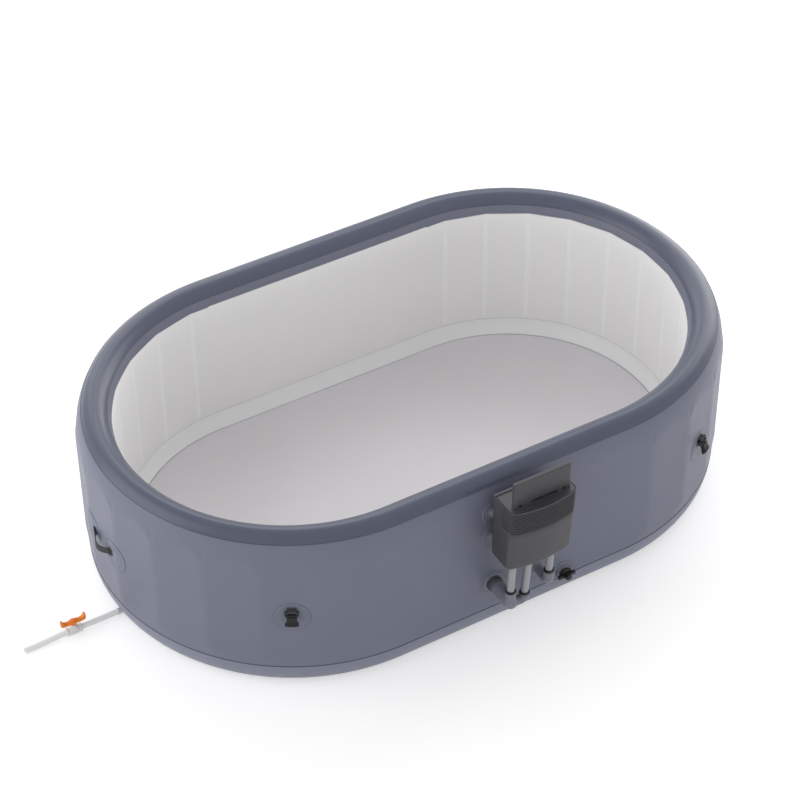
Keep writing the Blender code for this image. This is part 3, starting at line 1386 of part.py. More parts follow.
def build_heater():
    """Build the flow heater, with the pipe that brings water from the pump."""
    base = CASE_BOTTOM + PLASTIC + GAP
    profile = [
        (0.0, HEATER_HIGH),
        (HEATER_RADIUS - PLASTIC, HEATER_HIGH),
        (HEATER_RADIUS, HEATER_HIGH - PLASTIC),
        (HEATER_RADIUS, HEATER_BASE_HIGH),
        (HEATER_BASE, HEATER_BASE_HIGH),
        (HEATER_BASE, base),
        (BARB, base),
        (BARB, BARB_LOW),
        (BARB_BORE, BARB_LOW),
        (BARB_BORE, HEATER_BASE_HIGH),
        (HEATER_BORE, HEATER_BASE_HIGH + PLASTIC),
        (HEATER_BORE, HEATER_HIGH - PLASTIC * 2),
        (0.0, HEATER_HIGH - PLASTIC * 2),
    ]
    item = turned("heater_tube", profile, "motor_metal", Matrix.Translation((HEATER_X, HEATER_Y, 0.0)),
                  sides=SIDES_SMALL)
    touch = math.sqrt((VOLUTE_RADIUS + GAP) ** 2 - (CROSS_PIPE_Y - PUMP_Y - CROSS_PIPE_RADIUS) ** 2)
    start = Vector((PUMP_X + touch + GAP, CROSS_PIPE_Y, CROSS_PIPE_Z))
    axis = Vector((1.0, 0.0, 0.0))
    outer_end = HEATER_X - (HEATER_RADIUS + HEATER_BORE) / 2 + PLASTIC
    pipe = rod_mesh("cross_pipe", CROSS_PIPE_RADIUS, 0.0, outer_end - start.x, SIDES_SMALL)
    boolean(item, cutter("cross_pipe", pipe, facing(axis, start)), "UNION")
    bore_start = start - axis * OVERRUN
    drill(item, "cross_bore", CROSS_PIPE_BORE, bore_start, axis, HEATER_X - bore_start.x)


def build_blower():
    """Build the air blower, its outlet pipe and its fan."""
    back = CASE_BACK - PLASTIC - GAP
    inner = BLOWER_RADIUS - PLASTIC
    profile = [
        (0.0, PLASTIC),
        (inner, PLASTIC),
        (inner, BLOWER_LENGTH - PLASTIC),
        (BLOWER_INLET, BLOWER_LENGTH - PLASTIC),
        (BLOWER_INLET, BLOWER_LENGTH),
        (inner, BLOWER_LENGTH),
        (BLOWER_RADIUS, BLOWER_LENGTH - PLASTIC),
        (BLOWER_RADIUS, 0.0),
        (0.0, 0.0),
    ]
    item = turned("blower_housing", profile, "black_plastic", facing(OUTWARD, (BLOWER_X, back, BLOWER_Z)))
    pipe_top = BLOWER_Z - BLOWER_RADIUS + PLASTIC
    pipe = rod_mesh("blower_pipe", BARB, BARB_LOW, pipe_top, SIDES_SMALL)
    at = Matrix.Translation((BLOWER_X, BLOWER_PIPE_Y, 0.0))
    boolean(item, cutter("blower_pipe", pipe, at), "UNION")
    bore = rod_mesh("blower_bore", BARB_BORE, BARB_LOW - OVERRUN, pipe_top + PLASTIC * 2, SIDES_SMALL)
    boolean(item, cutter("blower_bore", bore, at), "DIFFERENCE")
    fan = paddle_mesh("blower_fan", FAN_HUB, FAN_RADIUS, FAN_BLADES, FAN_LENGTH)
    seat = back - PLASTIC - GAP
    place("blower_fan", fan, "key_plastic", facing(OUTWARD, (BLOWER_X, seat, BLOWER_Z)))


# Drain


def build_drain(tray, floor):
    """Build the drain: sump and duct, two free hoses and the valve between them."""
    route = bend((DRAIN_OUTER_X, DRAIN_Y, DRAIN_AXIS), (DRAIN_SUMP_X, DRAIN_Y, DRAIN_AXIS),
                 (DRAIN_SUMP_X, DRAIN_Y, FLOOR_LEVEL + GAP), DRAIN_BEND)
    radii = [DRAIN_RADIUS] * len(route)
    collar_end = route[0] + Vector((DRAIN_COLLAR_LENGTH, 0.0, 0.0))
    collar = ([route[0], collar_end], [DRAIN_COLLAR, DRAIN_COLLAR])
    seat = FLOOR_LEVEL + GAP
    flange = ([(DRAIN_SUMP_X, DRAIN_Y, seat), (DRAIN_SUMP_X, DRAIN_Y, seat + SUMP_THICKNESS)],
              [SUMP_RADIUS, SUMP_RADIUS])
    bore = [route[0] - Vector((OVERRUN, 0.0, 0.0))] + route[1:-1]
    bore.append(route[-1] + Vector((0.0, 0.0, OVERRUN * 2)))
    fitting("drain_outlet", [(route, radii), collar, flange], [(bore, [DRAIN_BORE] * len(bore))], "pale_weld")
    start = (DRAIN_OUTER_X - OVERRUN, DRAIN_Y, DRAIN_AXIS)
    reach = END_WALL * SKIRT_REACH_SHARE + OVERRUN * 2
    hole = clear_radius(DRAIN_RADIUS, SIDES_SMALL)
    drill(tray, "tray_drain_hole", hole, start, (1.0, 0.0, 0.0), reach)
    start = (DRAIN_SUMP_X, DRAIN_Y, FLOOR_LEVEL - SKIN - OVERRUN)
    drill(floor, "floor_drain_hole", hole, start, (0.0, 0.0, 1.0), SKIN + OVERRUN * 2)
    for name, route in (("drain_hose", DRAIN_HOSE_ROUTE), ("tail_hose", TAIL_HOSE_ROUTE)):
        count = round(abs(route[-1][0] - route[0][0]) / CORD_STEP)
        points = hose_points(route, count)
        place(name, tube_mesh(name, points, [DRAIN_RADIUS] * len(points)), "hose")
    build_valve()


def build_valve():
    """Build the ball valve: hollow body, ball with its stem, and the two-winged lever."""
    steps = VALVE_SEAT_STEPS
    seat = clear_radius(VALVE_CORE, SIDES_SMALL) / math.cos(math.pi / (2 * steps + 4))
    mouth = math.sqrt(seat ** 2 - VALVE_CORE_BORE ** 2)
    inner = [(DRAIN_BORE, -VALVE_HALF), (VALVE_CORE_BORE, -mouth - PLASTIC)]
    start = math.atan2(VALVE_CORE_BORE, -mouth)
    for i in range(steps + 1):
        angle = start - (2 * start - math.pi) * i / steps
        inner.append((seat * math.sin(angle), seat * math.cos(angle)))
    inner += [(VALVE_CORE_BORE, mouth + PLASTIC), (DRAIN_BORE, VALVE_HALF)]
    waist = VALVE_HALF * VALVE_WAIST_SHARE
    swell = VALVE_HALF * VALVE_SWELL_SHARE
    outer = [(VALVE_SOCKET, VALVE_HALF), (VALVE_SOCKET, waist), (VALVE_BODY, swell),
             (VALVE_BODY, -swell), (VALVE_SOCKET, -waist), (VALVE_SOCKET, -VALVE_HALF)]
    matrix = facing((1.0, 0.0, 0.0), (VALVE_X, DRAIN_Y, DRAIN_AXIS))
    item = turned("valve_body", outer + inner, "white_plastic", matrix, closed=True, sides=SIDES_SMALL)
    upright = Matrix.Translation((VALVE_X, DRAIN_Y, 0.0))
    tower_low = DRAIN_AXIS + (VALVE_BODY + seat) / 2
    tower = rod_mesh("valve_tower", VALVE_TOWER, tower_low, VALVE_TOWER_HIGH, SIDES_SMALL)
    boolean(item, cutter("valve_tower", tower, upright), "UNION")
    start_point = (VALVE_X, DRAIN_Y, DRAIN_AXIS + VALVE_CORE_BORE)
    drill(item, "valve_stem_hole", VALVE_STEM + GAP, start_point, (0.0, 0.0, 1.0), VALVE_TOWER_HIGH)
    build_valve_core()
    build_lever()


def build_valve_core():
    """Build the ball and its stem."""
    work = bmesh.new()
    bmesh.ops.create_uvsphere(work, u_segments=12, v_segments=8, radius=VALVE_CORE)
    mesh = bpy.data.meshes.new("valve_core")
    work.to_mesh(mesh)
    work.free()
    centre = (VALVE_X, DRAIN_Y, DRAIN_AXIS)
    item = place("valve_core", mesh, "motor_metal", Matrix.Translation(centre))
    stem = rod_mesh("valve_stem", VALVE_STEM, VALVE_STEM_LOW, VALVE_STEM_HIGH - DRAIN_AXIS, SIDES_SMALL)
    boolean(item, cutter("valve_stem", stem, Matrix.Translation(centre)), "UNION")
    start = (VALVE_X - VALVE_CORE - OVERRUN, DRAIN_Y, DRAIN_AXIS)
    drill(item, "valve_port", VALVE_PORT_BORE, start, (1.0, 0.0, 0.0), 2 * (VALVE_CORE + OVERRUN))


def build_lever():
    """Build the lever with two upturned wings on the valve's stem."""
    base = VALVE_STEM_HIGH + GAP
    heel, toe = (LEVER_THICK * share for share in LEVER_LOW_SHARES)
    throat, back, crest = (LEVER_THICK * share for share in LEVER_HIGH_SHARES)
    root, neck = (LEVER_HUB * share for share in LEVER_ROOT_SHARES)
    half = [
        (LEVER_HUB, 0.0),
        (LEVER_HALF * LEVER_ARM_SHARE, heel),
        (LEVER_HALF, toe),
        (LEVER_HALF, LEVER_TIP),
        (LEVER_HALF * LEVER_TIP_SHARE, LEVER_TIP),
        (LEVER_HALF * LEVER_ARM_SHARE, throat),
        (root, back),
        (neck, crest),
    ]
    outline = half + [(-x, z) for x, z in reversed(half)]
    upright = Matrix.Translation((VALVE_X, DRAIN_Y, base)) @ Matrix.Rotation(math.pi / 2, 4, "X")
    item = place("valve_lever", flat_mesh("valve_lever", outline, LEVER_WIDTH), "orange_plastic", upright)
    hub = rod_mesh("lever_hub", LEVER_HUB, 0.0, LEVER_HUB_HEIGHT, SIDES_SMALL)
    boolean(item, cutter("lever_hub", hub, Matrix.Translation((VALVE_X, DRAIN_Y, base))), "UNION")


def build():
    """Build the whole hot tub."""
    clear_scene()
    outer, liner, tray, floor = build_shell()
    build_webs("right", 0)
    build_webs("left", 2 * WEBS_PER_END + STRAIGHT_PANELS)
    centre = (TUB_LENGTH - TUB_WIDTH) / 2
    radius = TUB_WIDTH / 2
    angle = math.radians(BUCKLE_DEG)
    for end_name, end in (("left", -1), ("right", 1)):
        for side_name, side in (("front", -1), ("back", 1)):
            spot = (end * (centre + radius * math.cos(angle)), side * radius * math.sin(angle))
            build_buckle(f"{side_name}_{end_name}", along_of(spot), BUCKLE_HEIGHT)
    build_handle("left", -1)
    build_handle("right", 1)
    build_wall_fittings(outer, liner)
    build_fittings()
    build_air_unions(outer)
    build_air_valve(outer)
    build_case_front()
    build_case_rear()
    build_tray()
    build_grille()
    build_panel()
    build_pump()
    build_heater()
    build_blower()
    build_drain(tray, floor)


build()
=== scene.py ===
"""The looks of an oval inflatable hot tub with a hanging pump and heater unit.

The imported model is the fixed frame. Its long axis lies along X, the pump unit hangs on the
front wall at -Y and Z points up. The origin is on the floor. Lengths are metres, apart from
names that end in mm and the rows that the function mm takes.
"""

import json
import logging
import math
from dataclasses import dataclass
from enum import Enum
from typing import Any, Callable, Sequence

import bmesh
import bpy
import numpy as np
from bpy.types import ID, Material, Mesh, Node, NodeOutputs, NodeSocket, NodeTree, Object
from mathutils import Matrix, Vector

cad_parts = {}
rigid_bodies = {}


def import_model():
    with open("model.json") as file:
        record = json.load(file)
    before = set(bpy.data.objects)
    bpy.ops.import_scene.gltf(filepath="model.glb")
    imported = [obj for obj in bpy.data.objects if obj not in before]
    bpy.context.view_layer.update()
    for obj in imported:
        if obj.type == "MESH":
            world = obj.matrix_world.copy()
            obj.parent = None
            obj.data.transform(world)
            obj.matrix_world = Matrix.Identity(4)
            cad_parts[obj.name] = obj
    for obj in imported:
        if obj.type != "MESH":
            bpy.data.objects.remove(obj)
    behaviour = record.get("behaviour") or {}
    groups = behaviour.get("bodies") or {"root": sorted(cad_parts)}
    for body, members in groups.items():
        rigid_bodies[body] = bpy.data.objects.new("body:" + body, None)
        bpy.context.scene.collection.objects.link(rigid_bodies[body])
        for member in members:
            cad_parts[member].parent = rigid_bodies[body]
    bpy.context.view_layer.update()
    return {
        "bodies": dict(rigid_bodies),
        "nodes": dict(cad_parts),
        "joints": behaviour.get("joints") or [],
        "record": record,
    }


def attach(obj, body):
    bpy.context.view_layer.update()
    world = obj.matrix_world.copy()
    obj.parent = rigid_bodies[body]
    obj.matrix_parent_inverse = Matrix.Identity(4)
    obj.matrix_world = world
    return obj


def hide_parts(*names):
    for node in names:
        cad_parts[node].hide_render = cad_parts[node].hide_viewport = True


LOG = logging.getLogger("hot_tub")
MM = 0.001
WELD = 0.00002
SHARP_ANGLE = math.radians(38.0)
OUTWARD = Vector((0.0, -1.0, 0.0))
POOLWARD = Vector((0.0, 1.0, 0.0))
UP = Vector((0.0, 0.0, 1.0))
Row = tuple[float, float]
Place = tuple[float, float, float]
Spot = Callable[[float, float, float], Vector]


class Slot(Enum):
    """The record's material slots."""

    SHELL = "shell_slate"
    CROWN = "crown_slate"
    LINER = "liner_pale"
    WELD = "weld_pale"
    FITTING = "fitting_slate"
    BLACK = "black_plastic"
    WEBBING = "webbing"
    CASE = "case_plastic"
    HOSE = "hose_grey"
    KEY = "key_grey"
    FAN = "fan_grey"
    MOTOR = "motor_metal"
    BALL = "ball_metal"
    VALVE = "valve_white"
    LEVER = "lever_orange"


# Shader and mesh helpers


def linear(text: str) -> tuple[float, float, float, float]:
    """Turn an sRGB hex colour into linear light.

    Args:
        text: six hex digits.

    Returns:
        Red, green, blue and full opacity.
    """
    parts = [int(text[i:i + 2], 16) / 255 for i in (0, 2, 4)]
    light = [p / 12.92 if p <= 0.04045 else ((p + 0.055) / 1.055) ** 2.4 for p in parts]
    return (light[0], light[1], light[2], 1.0)


def mm(rows: Sequence[Sequence[float]]) -> list[tuple[float, ...]]:
    """Return rows of millimetres in metres."""
    return [tuple(x * MM for x in row) for row in rows]


def add_node(tree: NodeTree, kind: str, settings: dict[str, Any] | None = None,
             inputs: dict[str | int, Any] | None = None) -> Node:
    """Add a node with its settings, and set or link its inputs.

    Args:
        tree: the shader or geometry tree.
        kind: the node's type.
        settings: the node's own properties.
        inputs: a value, or a socket to link, for each input by name or place.

    Returns:
        The new node.
    """
    node = tree.nodes.new(kind)
    for key, value in (settings or {}).items():
        setattr(node, key, value)
    for key, value in (inputs or {}).items():
        socket = node.inputs[key]
        if isinstance(value, NodeSocket):
            tree.links.new(value, socket)
        else:
            socket.default_value = value
    return node


def new_object(name: str, data: ID) -> Object:
    """Link a mesh, text, camera or lamp to the scene as an object at the origin."""
    item = bpy.data.objects.new(name, data)
    bpy.context.scene.collection.objects.link(item)
    return item


def mesh_from(name: str, points: Sequence[Any], faces: Sequence[Sequence[int]], closed: bool = True) -> Mesh:
    """Make a welded mesh from points and faces.

    Args:
        name: the mesh's name.
        points: places of its points.
        faces: indices of each face's points.
        closed: whether the faces enclose a body, so that they can be turned outwards.

    Returns:
        The mesh.
    """
    mesh = bpy.data.meshes.new(name)
    mesh.from_pydata([tuple(map(float, point)) for point in points], [], [tuple(f) for f in faces])
    work = bmesh.new()
    work.from_mesh(mesh)
    bmesh.ops.remove_doubles(work, verts=work.verts, dist=WELD)
    if closed:
        bmesh.ops.recalc_face_normals(work, faces=work.faces)
    work.to_mesh(mesh)
    work.free()
    return mesh


def grid_faces(rows: int, columns: int, around: bool = False, along: bool = False) -> list[tuple[int, ...]]:
    """List the faces of a grid of points.

    Args:
        rows: count of rows.
        columns: count of points in a row.
        around: whether each row closes on itself.
        along: whether the last row joins the first.

    Returns:
        Quads.
    """
    faces = []
    for i in range(rows if along else rows - 1):
        for j in range(columns if around else columns - 1):
            a, b = i * columns, ((i + 1) % rows) * columns
            k = (j + 1) % columns
            faces.append((a + j, a + k, b + k, b + j))
    return faces


def loft(name: str, rings: Sequence[Sequence[Any]], capped: bool = True) -> Mesh:
    """Join rings of points into a closed body.

    Args:
        name: the mesh's name.
        rings: its sections, all with the same count of points.
        capped: whether its ends are filled, or else its last ring joins its first.

    Returns:
        The mesh.
    """
    count, around = len(rings), len(rings[0])
    faces = grid_faces(count, around, around=True, along=not capped)
    if capped:
        last = (count - 1) * around
        faces += [tuple(range(around)), tuple(range(last, last + around))]
    return mesh_from(name, [point for ring in rings for point in ring], faces)


def circle(count: int, radius: float = 1.0) -> list[Row]:
    """Return (x, y) points on a circle, anticlockwise."""
    turns = [2 * math.pi * i / count for i in range(count)]
    return [(radius * math.cos(turn), radius * math.sin(turn)) for turn in turns]


def facing(axis: Sequence[float], at: Sequence[float]) -> Matrix:
    """Return the matrix that takes local Z to a direction at a place."""
    turn = UP.rotation_difference(Vector(axis)).to_matrix().to_4x4()
    return Matrix.Translation(Vector(at)) @ turn


def upright(x: Vector, y: Vector, z: Vector) -> Matrix:
    """Return the turn that takes the local axes to three directions."""
    return Matrix((x, y, z)).transposed().to_4x4()


def lathe(profile: Sequence[Row], matrix: Matrix, sides: int = 48) -> Mesh:
    """Turn a closed profile about local Z.

    Args:
        profile: (radius, height) points in order; it closes on itself or on the axis.
        matrix: where the axis goes.
        sides: count of steps round the axis.

    Returns:
        A closed mesh.
    """
    points = [matrix @ Vector((*at, z)) for radius, z in profile for at in circle(sides, radius)]
    on_axis = profile[0][0] == 0.0 and profile[-1][0] == 0.0
    return mesh_from("lathe", points, grid_faces(len(profile), sides, around=True, along=not on_axis))


def plate(outline: Sequence[Row], depth: float, matrix: Matrix, bevel: float = 0.0, segments: int = 2
          ) -> Mesh:
    """Make a closed plate of a flat outline, centred on local Z.

    Args:
        outline: its corners in local X and Y.
        depth: its thickness.
        matrix: where it goes.
        bevel: width of its rounded edges.
        segments: steps in a rounded edge.

    Returns:
        The mesh.
    """
    work = bmesh.new()
    face = work.faces.new([work.verts.new((x, y, -depth / 2)) for x, y in outline])
    top = bmesh.ops.extrude_face_region(work, geom=[face])
    verts = [item for item in top["geom"] if isinstance(item, bmesh.types.BMVert)]
    bmesh.ops.translate(work, verts=verts, vec=(0.0, 0.0, depth))
    if bevel:
        edges = [e for e in work.edges if e.calc_face_angle(0.0) > SHARP_ANGLE / 2]
        bmesh.ops.bevel(work, geom=edges, offset=bevel, segments=segments, profile=0.6, affect="EDGES",
                        clamp_overlap=True)
    bmesh.ops.transform(work, matrix=matrix, verts=work.verts)
    bmesh.ops.recalc_face_normals(work, faces=work.faces)
    mesh = bpy.data.meshes.new("plate")
    work.to_mesh(mesh)
    work.free()
    return mesh


def block(low: Sequence[float], high: Sequence[float], bevel: float, matrix: Matrix | None = None,
          segments: int = 3) -> Mesh:
    """Make a box with rounded edges between two corners.

    Args:
        low: its lowest corner.
        high: its highest corner.
        bevel: width of the rounded edges.
        matrix: where it goes.
        segments: steps in a rounded edge.

    Returns:
        The mesh.
    """
    outline = [(low[0], low[1]), (high[0], low[1]), (high[0], high[1]), (low[0], high[1])]
    lift = Matrix.Translation((0.0, 0.0, (low[2] + high[2]) / 2))
    return plate(outline, high[2] - low[2], (matrix or Matrix()) @ lift, bevel, segments)


def path_frames(points: Sequence[Vector], closed: bool = False) -> list[Matrix]:
    """Return a frame at each point of a path, whose local Z runs along it without twisting.

    Args:
        points: the path.
        closed: whether the last point joins the first.

    Returns:
        A matrix for each point.
    """
    count = len(points)
    frames = []
    side = None
    for i, point in enumerate(points):
        ahead = points[(i + 1) % count] if closed or i < count - 1 else points[i]
        behind = points[i - 1] if closed or i > 0 else points[i]
        run = (ahead - behind).normalized()
        if side is None:
            side = run.cross(UP) if abs(run.dot(UP)) < 0.9 else run.cross(Vector((1.0, 0.0, 0.0)))
        side = (side - run * side.dot(run)).normalized()
        frames.append(Matrix.Translation(point) @ upright(side, run.cross(side), run))
    return frames


def tube(points: Sequence[Vector], radii: Sequence[float], sides: int = 24, bore: float = 0.0) -> Mesh:
    """Make a round tube through points, solid or with a bore.

    Args:
        points: its centreline.
        radii: its outside radius at each point.
        sides: steps round it.
        bore: radius of its hole, or 0.

    Returns:
        A closed mesh.
    """
    steps = list(zip(path_frames(points), radii))
    if bore:
        steps += [(frame, bore) for frame, _ in reversed(steps)]
    rings = [[frame @ Vector((*at, 0.0)) for at in circle(sides, radius)] for frame, radius in steps]
    return loft("tube", rings, capped=not bore)


def ring_bead(line: Sequence[Vector], radius: float, sides: int) -> Mesh:
    """Make a round bead along a line that closes on itself."""
    frames = path_frames(line, closed=True)
    rings = [[frame @ Vector((*at, 0.0)) for at in circle(sides, radius)] for frame in frames]
    return loft("bead", rings, capped=False)


def smooth_path(points: Sequence[Sequence[float]], count: int) -> list[Vector]:
    """Return points of a smooth curve through the given ones.

    Args:
        points: places on the curve.
        count: steps along it.

    Returns:
        count + 1 points.
    """
    places = [Vector(point) for point in points]
    spans = len(places) - 1
    result = []
    for i in range(count + 1):
        along = spans * i / count
        k = min(int(along), spans - 1)
        t = along - k
        a, b, c, d = places[max(k - 1, 0)], places[k], places[k + 1], places[min(k + 2, spans)]
        result.append(0.5 * (2 * b + (c - a) * t + (2 * a - 5 * b + 4 * c - d) * t * t
                             + (3 * b - a - 3 * c + d) * t ** 3))
    return result


def elbow_path(start: Vector, corner: Vector, end: Vector, radius: float, steps: int = 10) -> list[Vector]:
    """Return points from a start round one corner to an end.

    Args:
        start: first point.
        corner: where the two runs would meet.
        end: last point.
        radius: radius of the bend.
        steps: steps in the bend.

    Returns:
        The points.
    """
    into, out = (start - corner).normalized(), (end - corner).normalized()
    centre = corner + (into + out) * radius
    turns = [math.pi / 2 * i / steps for i in range(steps + 1)]
    return [start, *[centre - out * radius * math.cos(t) - into * radius * math.sin(t) for t in turns], end]


def joined(name: str, meshes: Sequence[Mesh]) -> Mesh:
    """Put several meshes into one.

    Args:
        name: the new mesh's name.
        meshes: the meshes, which are removed.

    Returns:
        One mesh.
    """
    work = bmesh.new()
    for mesh in meshes:
        work.from_mesh(mesh)
    result = bpy.data.meshes.new(name)
    work.to_mesh(result)
    work.free()
    for mesh in meshes:
        bpy.data.meshes.remove(mesh)
    return result


def baked_mesh(item: Object) -> Mesh:
    """Return an object's mesh with its modifiers applied, and remove the object.

    Args:
        item: the object.

    Returns:
        A plain mesh.
    """
    bpy.context.view_layer.update()
    graph = bpy.context.evaluated_depsgraph_get()
    mesh = bpy.data.meshes.new_from_object(item.evaluated_get(graph))
    data = item.data
    bpy.data.objects.remove(item, do_unlink=True)
    if isinstance(data, Mesh):
        bpy.data.meshes.remove(data)
    return mesh


def thickened(mesh: Mesh, thickness: float, offset: float = -1.0, even: bool = False) -> Mesh:
    """Give an open sheet its thickness.

    Args:
        mesh: the sheet, which is removed.
        thickness: how thick it gets.
        offset: -1 to grow inwards, 0 to grow both ways.
        even: whether bends keep the thickness.

    Returns:
        A closed mesh.
    """
    item = new_object("sheet", mesh)
    solid = item.modifiers.new("Thickness", "SOLIDIFY")
    solid.thickness = thickness
    solid.offset = offset
    solid.use_even_offset = even
    return baked_mesh(item)


def finish_piece(name: str, mesh: Mesh, material: Material, slot: Slot, node: str = "",
                 body: str = "tub") -> Object:
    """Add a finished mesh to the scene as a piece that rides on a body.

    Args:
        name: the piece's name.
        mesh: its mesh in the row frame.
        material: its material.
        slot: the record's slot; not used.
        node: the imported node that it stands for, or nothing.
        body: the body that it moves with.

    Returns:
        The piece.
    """
    mesh.name = name
    mesh.materials.clear()
    mesh.materials.append(material)
    mesh.shade_smooth()
    mesh.set_sharp_from_angle(angle=SHARP_ANGLE)
    piece = new_object(name, mesh)
    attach(piece, body)
    if node:
        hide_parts(node)
    LOG.info("%s: %d faces on %s", name, len(mesh.polygons), body)
    return piece


# Finishes


@dataclass(frozen=True)
class Finish:
    """A surface whose colour drifts a little and whose skin has a fine grain."""

    name: str
    colour: str
    roughness: float
    drift: float = 0.05
    drift_mm: float = 180.0
    grain_mm: float = 3.0
    grain_height_mm: float = 0.05
    ior: float = 1.5
    metallic: float = 0.0
    coat: float = 0.0

    def start(self) -> tuple[Material, NodeTree, Node, Node]:
        """Make the material with its shader and its coordinates.

        Returns:
            The material, its tree, its shader and its coordinate node.
        """
        material = bpy.data.materials.new(self.name)
        material.use_nodes = True
        tree = material.node_tree
        tree.nodes.clear()
        settings = {"IOR": self.ior, "Metallic": self.metallic, "Coat Weight": self.coat}
        if self.metallic:
            settings.pop("IOR")
        shader = add_node(tree, "ShaderNodeBsdfPrincipled", inputs=settings)
        add_node(tree, "ShaderNodeOutputMaterial", inputs={"Surface": shader.outputs["BSDF"]})
        material.diffuse_color = linear(self.colour)
        return material, tree, shader, add_node(tree, "ShaderNodeTexCoord")

    def drifting(self, tree: NodeTree, where: NodeSocket) -> NodeSocket:
        """Return the colour as it drifts slowly over the surface.

        Args:
            tree: the material's tree.
            where: the coordinates.

        Returns:
            A colour socket.
        """
        noise = add_node(tree, "ShaderNodeTexNoise",
                         inputs={"Vector": where, "Scale": 1 / (self.drift_mm * MM), "Detail": 4.0})
        base = linear(self.colour)
        dark = tuple(c * (1 - self.drift) for c in base[:3]) + (1.0,)
        light = tuple(min(1.0, c * (1 + self.drift)) for c in base[:3]) + (1.0,)
        mix = add_node(tree, "ShaderNodeMix", {"data_type": "RGBA"},
                       {0: noise.outputs["Fac"], 6: dark, 7: light})
        return mix.outputs[2]

    def relief(self, tree: NodeTree, where: NodeSocket) -> NodeSocket:
        """Return a socket for the height of the surface's grain, from 0 to 1."""
        grain = add_node(tree, "ShaderNodeTexNoise",
                         inputs={"Vector": where, "Scale": 1 / (self.grain_mm * MM), "Detail": 3.0})
        return grain.outputs["Fac"]

    def build(self) -> Material:
        """Make the material.

        Returns:
            The material.
        """
        material, tree, shader, place = self.start()
        where = place.outputs["Object"]
        tree.links.new(self.drifting(tree, where), shader.inputs["Base Color"])
        polish = add_node(tree, "ShaderNodeTexNoise", inputs={"Vector": where, "Scale": 1 / (60 * MM)})
        rough = add_node(tree, "ShaderNodeMapRange",
                         inputs={"Value": polish.outputs["Fac"], "To Min": self.roughness * 0.9,
                                 "To Max": min(1.0, self.roughness * 1.1)})
        tree.links.new(rough.outputs["Result"], shader.inputs["Roughness"])
        bump = add_node(tree, "ShaderNodeBump",
                        inputs={"Height": self.relief(tree, where), "Distance": self.grain_height_mm * MM})
        tree.links.new(bump.outputs["Normal"], shader.inputs["Normal"])
        return material


@dataclass(frozen=True)
class CalenderedVinyl(Finish):
    """PVC sheet rolled smooth over a fine scrim, whose threads show through as a faint cross grain."""

    # Real threads lie about 1 mm apart, too fine to show here, so they are drawn coarser
    thread_mm: float = 5.0

    def relief(self, tree: NodeTree, where: NodeSocket) -> NodeSocket:
        """Return the height of the scrim's threads under the sheet, with a slow swell.

        Args:
            tree: the material's tree.
            where: the coordinates.

        Returns:
            A height socket.
        """
        waves = []
        for direction in ("X", "Z"):
            wave = add_node(tree, "ShaderNodeTexWave", {"bands_direction": direction},
                            {"Vector": where, "Scale": 0.314 / (self.thread_mm * MM), "Distortion": 0.4})
            waves.append(wave.outputs["Fac"])
        cross = add_node(tree, "ShaderNodeMath", {"operation": "MULTIPLY"}, {0: waves[0], 1: waves[1]})
        swell = add_node(tree, "ShaderNodeTexNoise", inputs={"Vector": where, "Scale": 1 / (90 * MM)})
        both = add_node(tree, "ShaderNodeMath", {"operation": "MULTIPLY_ADD"},
                        {0: swell.outputs["Fac"], 1: 12.0, 2: cross.outputs["Value"]})
        return both.outputs["Value"]


@dataclass(frozen=True)
class WovenWebbing(Finish):
    """Polypropylene webbing with ribs of twisted yarn."""

    rib_mm: float = 1.6

    def relief(self, tree: NodeTree, where: NodeSocket) -> NodeSocket:
        """Return a socket for the height of the yarns."""
        ribs = add_node(tree, "ShaderNodeTexWave", {"bands_direction": "DIAGONAL"},
                        {"Vector": where, "Scale": 0.314 / (self.rib_mm * MM), "Distortion": 1.5})
        return ribs.outputs["Fac"]


@dataclass(frozen=True)
class MouldedPlastic(Finish):
    """Injection-moulded plastic with the even grain of a spark-eroded mould, drawn coarser than it is."""

    def relief(self, tree: NodeTree, where: NodeSocket) -> NodeSocket:
        """Return a socket for the height of the mould's grain."""
        cells = add_node(tree, "ShaderNodeTexVoronoi", {"feature": "SMOOTH_F1"},
                         {"Vector": where, "Scale": 1 / (self.grain_mm * MM)})
        return cells.outputs["Distance"]


@dataclass(frozen=True)
class BrushedMetal(Finish):
    """Metal with fine drawn lines along its axis."""

    stretch: float = 0.04

    def relief(self, tree: NodeTree, where: NodeSocket) -> NodeSocket:
        """Return a socket for the height of the drawn lines."""
        stretched = add_node(tree, "ShaderNodeMapping",
                             inputs={"Vector": where, "Scale": (1.0, 1.0, self.stretch)})
        lines = add_node(tree, "ShaderNodeTexNoise",
                         inputs={"Vector": stretched.outputs["Vector"], "Scale": 1 / (self.grain_mm * MM)})
        return lines.outputs["Fac"]


